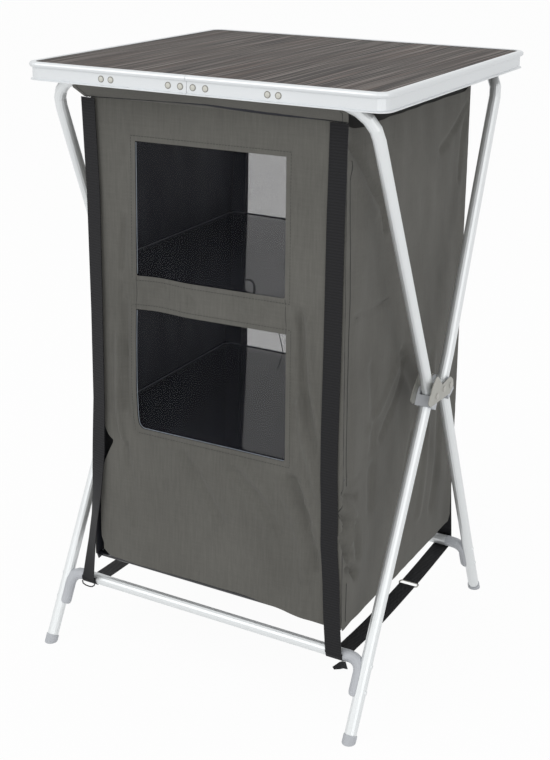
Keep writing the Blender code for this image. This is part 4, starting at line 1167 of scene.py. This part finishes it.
def build_net():
    """The net in the back's opening, and the short cord that hangs on it."""
    reach, lap, behind, wave_depth = MESH_HALF + 0.012, 0.008, 0.0006, 0.0010

    def place(x, z):
        wave = ripple(x, 2.0, z, size=0.12, seed=8.0) * wave_depth
        return Vector((x, half_depth(z) - CLOTH - behind + wave, z))

    panel = sheet_of("net_panel", lines((-reach, reach), 0.02),
                     lines((MESH_LOW - lap, MESH_HIGH + lap), 0.02), place, (0, 1, 0))
    dress(panel, "mesh")
    thicken(panel, 0.0004)
    smooth(panel)
    on_cabinet(panel)
    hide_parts("rear_mesh")

    bends = ((-0.1195, 0.4490), (-0.1120, 0.4250), (-0.1060, 0.4000))
    cord_behind, cord_radius = 0.0032, 0.0008
    points = [Vector((x, half_depth(z) - cord_behind, z)) for x, z in bends]
    on_cabinet(tube("net_cord", points, cord_radius, (0, 1, 0), "wire"))


# Shelves

def shelf_halves(top):
    """Half a shelf's width and depth, just inside the walls."""
    side_gap, end_gap = 0.0022, 0.0030
    return half_width(top) - side_gap, half_depth(top) - end_gap


def kept_in(x, y, top):
    """A shelf's left edge gives way where the wall is drawn in."""
    gap = 0.0030
    return max(x, -(wall_x(LEFT, y, top) - gap)) if x < 0 else x


def build_shelf(name, nodes, top):
    """A board sewn into coated cloth, which sags a little in its middle."""
    half_x, half_y = shelf_halves(top)
    sag, edge_round = 0.0022, 0.0024
    bpy.ops.object.select_all(action="DESELECT")
    bpy.ops.mesh.primitive_cube_add(size=1.0)
    cover = bpy.context.object
    cover.name = name
    for vertex in cover.data.vertices:
        vertex.co = Vector((vertex.co.x * 2 * half_x, vertex.co.y * 2 * half_y,
                            top - SHELF_THICKNESS / 2 + vertex.co.z * SHELF_THICKNESS))
    finish_with(cover, "BEVEL", width=edge_round, segments=3)
    tidy_mesh(cover, ("subdivide", {"number_cuts": 15}))
    for vertex in cover.data.vertices:
        x, y = vertex.co.x, vertex.co.y
        inside = max(0.0, 1 - (x / half_x) ** 2) * max(0.0, 1 - (y / half_y) ** 2)
        vertex.co.x = kept_in(x, y, top)
        vertex.co.z -= sag * inside
    dress(cover, "shelf")
    smooth(cover)
    on_cabinet(cover)
    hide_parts(*nodes)


def build_piping(name, top):
    """Pale piping along a shelf's left and rear edges."""
    half_x, half_y = shelf_halves(top)
    radius, rear, left, inset = 0.022, half_y - 0.006, -half_x + 0.005, 0.002
    points = [Vector((kept_in(left, y, top) + inset, y, top))
              for y in lines((-half_y + 0.010, rear - radius), 0.02)]
    for turn in (math.radians(15 * i) for i in range(1, 6)):
        points.append(Vector((left + radius - radius * math.cos(turn),
                              rear - radius + radius * math.sin(turn), top)))
    points += [Vector((x, rear, top)) for x in lines((left + radius, half_x - 0.012), 0.05)]
    piping_radius = 0.0011
    on_cabinet(tube(name + "_piping", points, piping_radius, (0, 0, 1), "piping"))


def build_shelf_stitches(name, top):
    """A row of stitches behind a shelf's front edge."""
    half_x, half_y = shelf_halves(top)
    points = [Vector((-half_x * 0.9 + 1.86 * half_x * i / 40, -half_y + 0.008, top + 0.0002))
              for i in range(41)]
    on_cabinet(stitch_line(name + "_stitches", points, (0, 0, 1)))


# Headers: sleeves round the upper bars, sewn into the skirt that carries the cabinet

# Half a header's width at each height from the bar's middle: its ends flare out below the bar
HEADER_HALF_WIDTH = ((-0.031, 0.2215), (-0.0125, 0.2310), (-0.008, 0.2120), (-0.004, 0.2075))
SKIRT_ROWS = 6
HEM_Y, HEM_Z = BAR_Y - HEADER_SET_BACK, BAR_Z - HEADER_DROP


def sleeve_section():
    """The sleeve's outline: up from the hem, and round the bar; x is inwards, y is up from the bar."""
    radius = TUBE_RADIUS + 0.0008
    hem = Vector((HEADER_SET_BACK, -HEADER_DROP))
    leave = math.atan2(hem.y, hem.x) - math.acos(radius / hem.length)
    first = Vector((radius * math.cos(leave), radius * math.sin(leave)))
    path = [hem.lerp(first, k / SKIRT_ROWS) for k in range(SKIRT_ROWS)]
    for i in range(25):
        turn = leave - math.radians(338) * i / 24
        path.append(Vector((radius * math.cos(turn), radius * math.sin(turn))))
    return path


def sleeve_point(end, section, share):
    """Where a point of the sleeve's outline lies, at a share of the header's half width."""
    wave_depth = 0.0007
    loose = ease((-section.y - 0.004) / 0.024)
    wave = wave_depth * ripple(share, section.y, end, size=0.05, seed=9.0) * loose
    return Vector((share * between(HEADER_HALF_WIDTH, section.y), end * (BAR_Y - section.x + wave),
                   BAR_Z + section.y))


def build_sleeve(end, path):
    length = sum((b - a).length for a, b in zip(path, path[1:]))
    sleeve = sheet_of(END_NAMES[end] + "_sleeve", lines((-1.0, 1.0), 0.04), list(range(len(path))),
                      lambda share, index: sleeve_point(end, path[index], share))
    highest = max(sleeve.data.polygons, key=lambda face: face.center.z)
    if highest.normal.z < 0:
        tidy_mesh(sleeve, ("flip_normals", {}))
    dress(sleeve, "cloth")
    thicken(sleeve, 0.0009, offset=0.0)
    smooth(sleeve, 50)
    on_arms(sleeve, end)
    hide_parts(END_NAMES[end] + "_header")


def build_sleeve_seams(end, path):
    """The skirt's upright seams near both ends, in dark cloth as painted shade lines."""
    seam_share, proud, seam_radius = 0.962, 0.0007, 0.0005
    for side in (LEFT, RIGHT):
        points = [sleeve_point(end, section, side * seam_share) + Vector((0, end * proud, 0))
                  for section in path[:SKIRT_ROWS]]
        seam = tube(corner_name(side, end) + "_sleeve_seam", points, seam_radius, (1, 0, 0), "shade_strip",
                    sides=6)
        on_arms(seam, end)


def hem_sag(end, share):
    """The front hem hangs lower towards its ends."""
    return 0.0070 * abs(share) if end == FRONT else 0.0


def build_hem(end, path):
    """A dark strip at the hem, painted as the shadow under the header's fold, and the hem's stitches; both
    lie on the skirt's slope.
    """
    lean = (path[SKIRT_ROWS].x - path[0].x) / (path[0].y - path[SKIRT_ROWS].y)
    half, top_rise, shallow, deeper, proud, roundness = 0.2205, 0.0070, 0.0011, 0.0034, 0.0010, 0.0008
    row_half, row_out, row_rise = 0.219, 0.0026, 0.0062

    def place(share, part):
        depth = shallow + deeper * hump(share, 0.35, 0.70)
        rise = top_rise - depth * part - hem_sag(end, share)
        out = HEM_Y + lean * rise + proud + roundness * math.sin(math.pi * part)
        return Vector((share * half, end * out, HEM_Z + rise))

    fold = sheet_of(END_NAMES[end] + "_hem_shadow", lines((-1.0, 1.0), 0.04), [i / 6 for i in range(7)], place,
                    (0, end, 0))
    # The strip is dark cloth: painted shadow under the header's fold.
    dress(fold, "painted_shade")
    thicken(fold, CLOTH)
    smooth(fold, 60)
    on_arms(fold, end)
    points = [Vector((row_half * share, end * (HEM_Y + row_out), HEM_Z + row_rise - hem_sag(end, share)))
              for share in lines((-1.0, 1.0), 0.025)]
    on_arms(stitch_line(END_NAMES[end] + "_hem_stitches", points, (0, end, 0)), end)


# Webbing straps

# How each strap hangs: at a height, how far it is from the middle, and how far it is turned edgewise
STRAP_RUNS = {
    (FRONT, LEFT): ((0.107, 0.2345, 11), (0.126, 0.2320, 19), (0.186, 0.2245, 33), (0.235, 0.2180, 36),
                    (0.280, 0.2128, 27), (0.360, 0.2068, 11), (0.450, 0.2039, 17), (0.600, 0.2039, 16),
                    (0.800, 0.2056, 10), (0.947, 0.2123, 10)),
    (FRONT, RIGHT): ((0.116, 0.2304, 0), (0.175, 0.2249, 0), (0.236, 0.2211, 0), (0.294, 0.2157, 0),
                     (0.353, 0.2146, 0), (0.410, 0.2118, 0), (0.470, 0.2106, 0), (0.600, 0.2105, 0),
                     (0.800, 0.2090, 0), (0.947, 0.2097, 0)),
}
REAR_RUN = ((0.107, 0.2335, 0), (0.250, 0.2235, 0), (0.400, 0.2165, 0), (0.600, 0.2135, 0),
            (0.800, 0.2105, 0), (0.947, 0.2070, 0))
RING_X = 0.2340
WRAP_RADIUS = TUBE_RADIUS + 0.0003 + STRAP / 2
BAR_TOUCH = CROSSBAR_Y + WRAP_RADIUS
STRAP_FOOT = CROSSBAR_Z + 0.002
BAND_STEP = 0.006


def strap_run(side, end, z, column=1):
    """How far from the middle a strap hangs at a height, or with column 2 how far it is turned."""
    return between(STRAP_RUNS.get((end, side), REAR_RUN), z, column)


def strap_y(side, end, z):
    """How far to the front or rear a strap hangs: against the cabinet above, on the crossbar below."""
    stand_off = 0.0028 if (end, side) == (FRONT, LEFT) else 0.0018
    bar_clear = 0.0020
    y = half_depth(z) + stand_off
    return y + (BAR_TOUCH + bar_clear - y) * ease((0.40 - z) / 0.28)


def resample(path, step):
    """Even points along a path of vectors."""
    lengths = [0.0]
    for a, b in zip(path, path[1:]):
        lengths.append(lengths[-1] + (b - a).length)
    count = max(2, round(lengths[-1] / step))
    points = []
    segment = 0
    for i in range(count + 1):
        target = lengths[-1] * i / count
        while segment < len(path) - 2 and lengths[segment + 1] < target:
            segment += 1
        span = lengths[segment + 1] - lengths[segment]
        share = (target - lengths[segment]) / max(span, 1e-9)
        points.append(path[segment].lerp(path[segment + 1], share))
    return points, lengths[-1]


def band(name, path, centre, twist, width=STRAP_WIDTH, outward=None):
    """Webbing along a path of (y, z) points; centre gives its place across, twist turns it edgewise."""
    points, length = resample([Vector((0.0, y, z)) for y, z in path], BAND_STEP)
    count = len(points) - 1

    def place(across, index):
        point = points[index]
        along = (points[min(index + 1, count)] - points[max(index - 1, 0)]).normalized()
        wide = Matrix.Rotation(twist(point), 3, along) @ Vector((1, 0, 0))
        return Vector((centre(point), point.y, point.z)) + wide * (across * width)

    columns = [-0.5, -0.47, -0.25, 0.0, 0.25, 0.47, 0.5]
    piece = sheet_of(name, columns, list(range(count + 1)), place, outward)
    layer = piece.data.uv_layers.active
    for loop in piece.data.loops:
        u, v = layer.data[loop.index].uv
        layer.data[loop.index].uv = (u * width, v * length)
    dress(piece, "webbing")
    thicken(piece, STRAP, offset=0.0)
    smooth(piece, 50)
    return piece


def band_on_run(name, path, side, end, width=STRAP_WIDTH):
    """Webbing that follows a strap's way down the cabinet's corner."""
    return band(name, path, lambda point: side * strap_run(side, end, point.z),
                lambda point: math.radians(strap_run(side, end, point.z, 2)), width, (0, end, 0))


def build_drop(side, end):
    """The strap's length from the header to the crossbar, which hangs with the cabinet."""
    top = CABINET_TOP - 0.0005
    heights = [top + (STRAP_FOOT - top) * i / 60 for i in range(61)]
    path = [(end * strap_y(side, end, z), z) for z in heights]
    on_cabinet(band_on_run(corner_name(side, end) + "_drop", path, side, end))


def build_slack(side, end):
    """A spare layer close behind the strap's foot, which stays at the crossbar when the cabinet rises."""
    length, behind, narrowed = 0.160, 0.0013, 0.9
    heights = [STRAP_FOOT + length * (1 - i / 20) for i in range(21)]
    path = [(end * (strap_y(side, end, z) - behind), z) for z in heights]
    slack = band_on_run(corner_name(side, end) + "_slack", path, side, end, STRAP_WIDTH * narrowed)
    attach(slack, END_NAMES[end] + "_legs")
    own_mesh(slack)


def build_sling(side, end):
    """The strap's way round and under the crossbar, and on to the ring, sagging a little."""
    sag, wrap_start, wrap_turn = 0.005, 25, 115
    path = []
    for i in range(17):
        turn = math.radians(wrap_start - wrap_turn * i / 16)
        path.append((end * (CROSSBAR_Y + WRAP_RADIUS * math.cos(turn)),
                     CROSSBAR_Z + WRAP_RADIUS * math.sin(turn)))
    ring_side = end * SLIDER_Y + 0.0065
    for i in range(1, 25):
        y = CROSSBAR_Y + (ring_side - CROSSBAR_Y) * i / 24
        path.append((end * y, CROSSBAR_Z - WRAP_RADIUS - sag * (1 - (y / CROSSBAR_Y) ** 2)))

    def centre(point):
        share = ease((CROSSBAR_Y - abs(point.y)) / (CROSSBAR_Y - SLIDER_Y))
        start = strap_run(side, end, CROSSBAR_Z)
        return side * (start + share * (RING_X - start))

    sling = band(corner_name(side, end) + "_sling", path, centre, lambda point: 0.0)
    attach(sling, END_NAMES[end] + "_legs")
    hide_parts(corner_name(side, end) + "_strap")
    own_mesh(sling)


def build_slider(side):
    """The wire ring that joins the two halves of a side's sling."""
    half_long, half_short, corner = 0.0165, 0.0068, 0.0050
    middle = Vector((side * RING_X, SLIDER_Y, CROSSBAR_Z - TUBE_RADIUS - 0.0066))
    outline = []
    for a, b, start in ((1, 1, 0), (-1, 1, 90), (-1, -1, 180), (1, -1, 270)):
        for i in range(7):
            turn = math.radians(start + 90 * i / 6)
            outline.append(middle + Vector((a * (half_long - corner) + corner * math.cos(turn),
                                            b * (half_short - corner) + corner * math.sin(turn), 0)))
    ring = tube(SIDE_NAMES[side] + "_ring", outline, 0.0013, (0, 0, 1), "rivet", closed=True)
    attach(ring, "front_legs")
    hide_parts(SIDE_NAMES[side] + "_slider")
    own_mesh(ring)


def build_loose_ends():
    """The wire loop at the foot of the left strap, and the right strap's folded tail."""
    front = -(CROSSBAR_Y + TUBE_RADIUS + 0.0030)
    bends = ((-0.2460, 0.1060), (-0.2445, 0.1012), (-0.2390, 0.0990), (-0.2320, 0.0985), (-0.2260, 0.0995),
             (-0.2215, 0.1030), (-0.2200, 0.1080))
    loop = tube("left_wire_loop", [Vector((x, front, z)) for x, z in bends], 0.0011, (0, 1, 0), "wire")
    rows = (((0.2330, 0.0870), (0.2300, 0.0905)), ((0.2420, 0.0890), (0.2400, 0.1010)),
            ((0.2480, 0.0930), (0.2440, 0.1040)), ((0.2560, 0.0960), (0.2520, 0.1080)))

    def place(across, index):
        low, high = rows[index]
        x, z = low[0] + (high[0] - low[0]) * across, low[1] + (high[1] - low[1]) * across
        return Vector((x, front + 0.0030 * math.sin(index * 1.3), z))

    tail = sheet_of("right_strap_tail", [0.0, 0.5, 1.0], list(range(len(rows))), place, (0, -1, 0))
    dress(tail, "webbing")
    thicken(tail, STRAP)
    smooth(tail)
    for piece in (loop, tail):
        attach(piece, "front_legs")


# Rivet caps on the rim

def rim_rivet_cap():
    """A cream dome in a dark ring that paints the dome's contact shadow, to be copied."""
    dome_radius, dome_height, shade_ring_radius, shade_ring_thickness = 0.0040, 0.0022, 0.0051, 0.0008
    bpy.ops.object.select_all(action="DESELECT")
    bpy.ops.mesh.primitive_uv_sphere_add(segments=20, ring_count=12, radius=1.0)
    dome = bpy.context.object
    dome.scale = (dome_radius, dome_height, dome_radius)
    bpy.ops.object.transform_apply(location=False, rotation=False, scale=True)
    tidy_mesh(dome, ("bisect", {"plane_co": (0, 0, 0), "plane_no": (0, -1, 0), "use_fill": True,
                                "clear_inner": True}))
    dress(dome, "cap")
    smooth(dome)
    bpy.ops.object.select_all(action="DESELECT")
    bpy.ops.mesh.primitive_cylinder_add(vertices=24, radius=shade_ring_radius, depth=shade_ring_thickness,
                                        rotation=(math.pi / 2, 0, 0))
    shade_ring = bpy.context.object
    bpy.ops.object.transform_apply(location=False, rotation=True, scale=False)
    finish_with(shade_ring, "BEVEL", width=0.0002, segments=1)
    # Dark ring as painted contact shadow.
    dress(shade_ring, "shade_ring")
    smooth(shade_ring)
    return join("rim_rivet_cap", [dome, shade_ring])


def build_rivet_caps():
    """A cap over each rivet head along the rim's front and rear."""
    base = rim_rivet_cap()
    for end in (FRONT, REAR):
        for side in (LEFT, RIGHT):
            for number, reach in enumerate(RIM_RIVETS, start=1):
                cap = bpy.data.objects.new(corner_name(side, end) + "_rim_cap_" + str(number),
                                           base.data.copy())
                place = Matrix.Translation((SEAM_X + side * reach, end * RIM_FACE_Y, RIM_RIVET_Z))
                turn = Matrix.Rotation(0 if end == FRONT else math.pi, 4, "Z")
                cap.data.transform(place @ turn)
                bpy.context.collection.objects.link(cap)
                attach(cap, "tabletop")
    bpy.data.objects.remove(base, do_unlink=True)


build_door()
build_window_stitches()
build_strip_seams()
for part, span in (("upper", UPPER_WINDOW), ("lower", LOWER_WINDOW)):
    build_window(part + "_film", part + "_window", span)
build_film_highlights("upper_film_highlight", UPPER_WINDOW, 0.003, bottom=False)
build_film_highlights("lower_film_highlight", LOWER_WINDOW, 0.010, bottom=True)
build_tie_loop()
for side in (LEFT, RIGHT):
    build_side_wall(side)
    build_wall_seams(side)
    build_top_margin(side)
    for end in (FRONT, REAR):
        build_welt(side, end)
build_back()
build_net()
for part, nodes, top in (("upper_shelf_cover", ("upper_shelf", "upper_shelf_board"), UPPER_SHELF_TOP),
                         ("lower_shelf_cover", ("lower_shelf", "lower_shelf_board"), LOWER_SHELF_TOP),
                         ("floor_cover", ("cabinet_floor", "cabinet_floor_board"), FLOOR_TOP)):
    build_shelf(part, nodes, top)
    build_piping(part, top)
    build_shelf_stitches(part, top)
for end in (FRONT, REAR):
    outline = sleeve_section()
    build_sleeve(end, outline)
    build_sleeve_seams(end, outline)
    build_hem(end, outline)
    for side in (LEFT, RIGHT):
        build_drop(side, end)
        build_slack(side, end)
        build_sling(side, end)
for side in (LEFT, RIGHT):
    build_slider(side)
build_loose_ends()
build_rivet_caps()
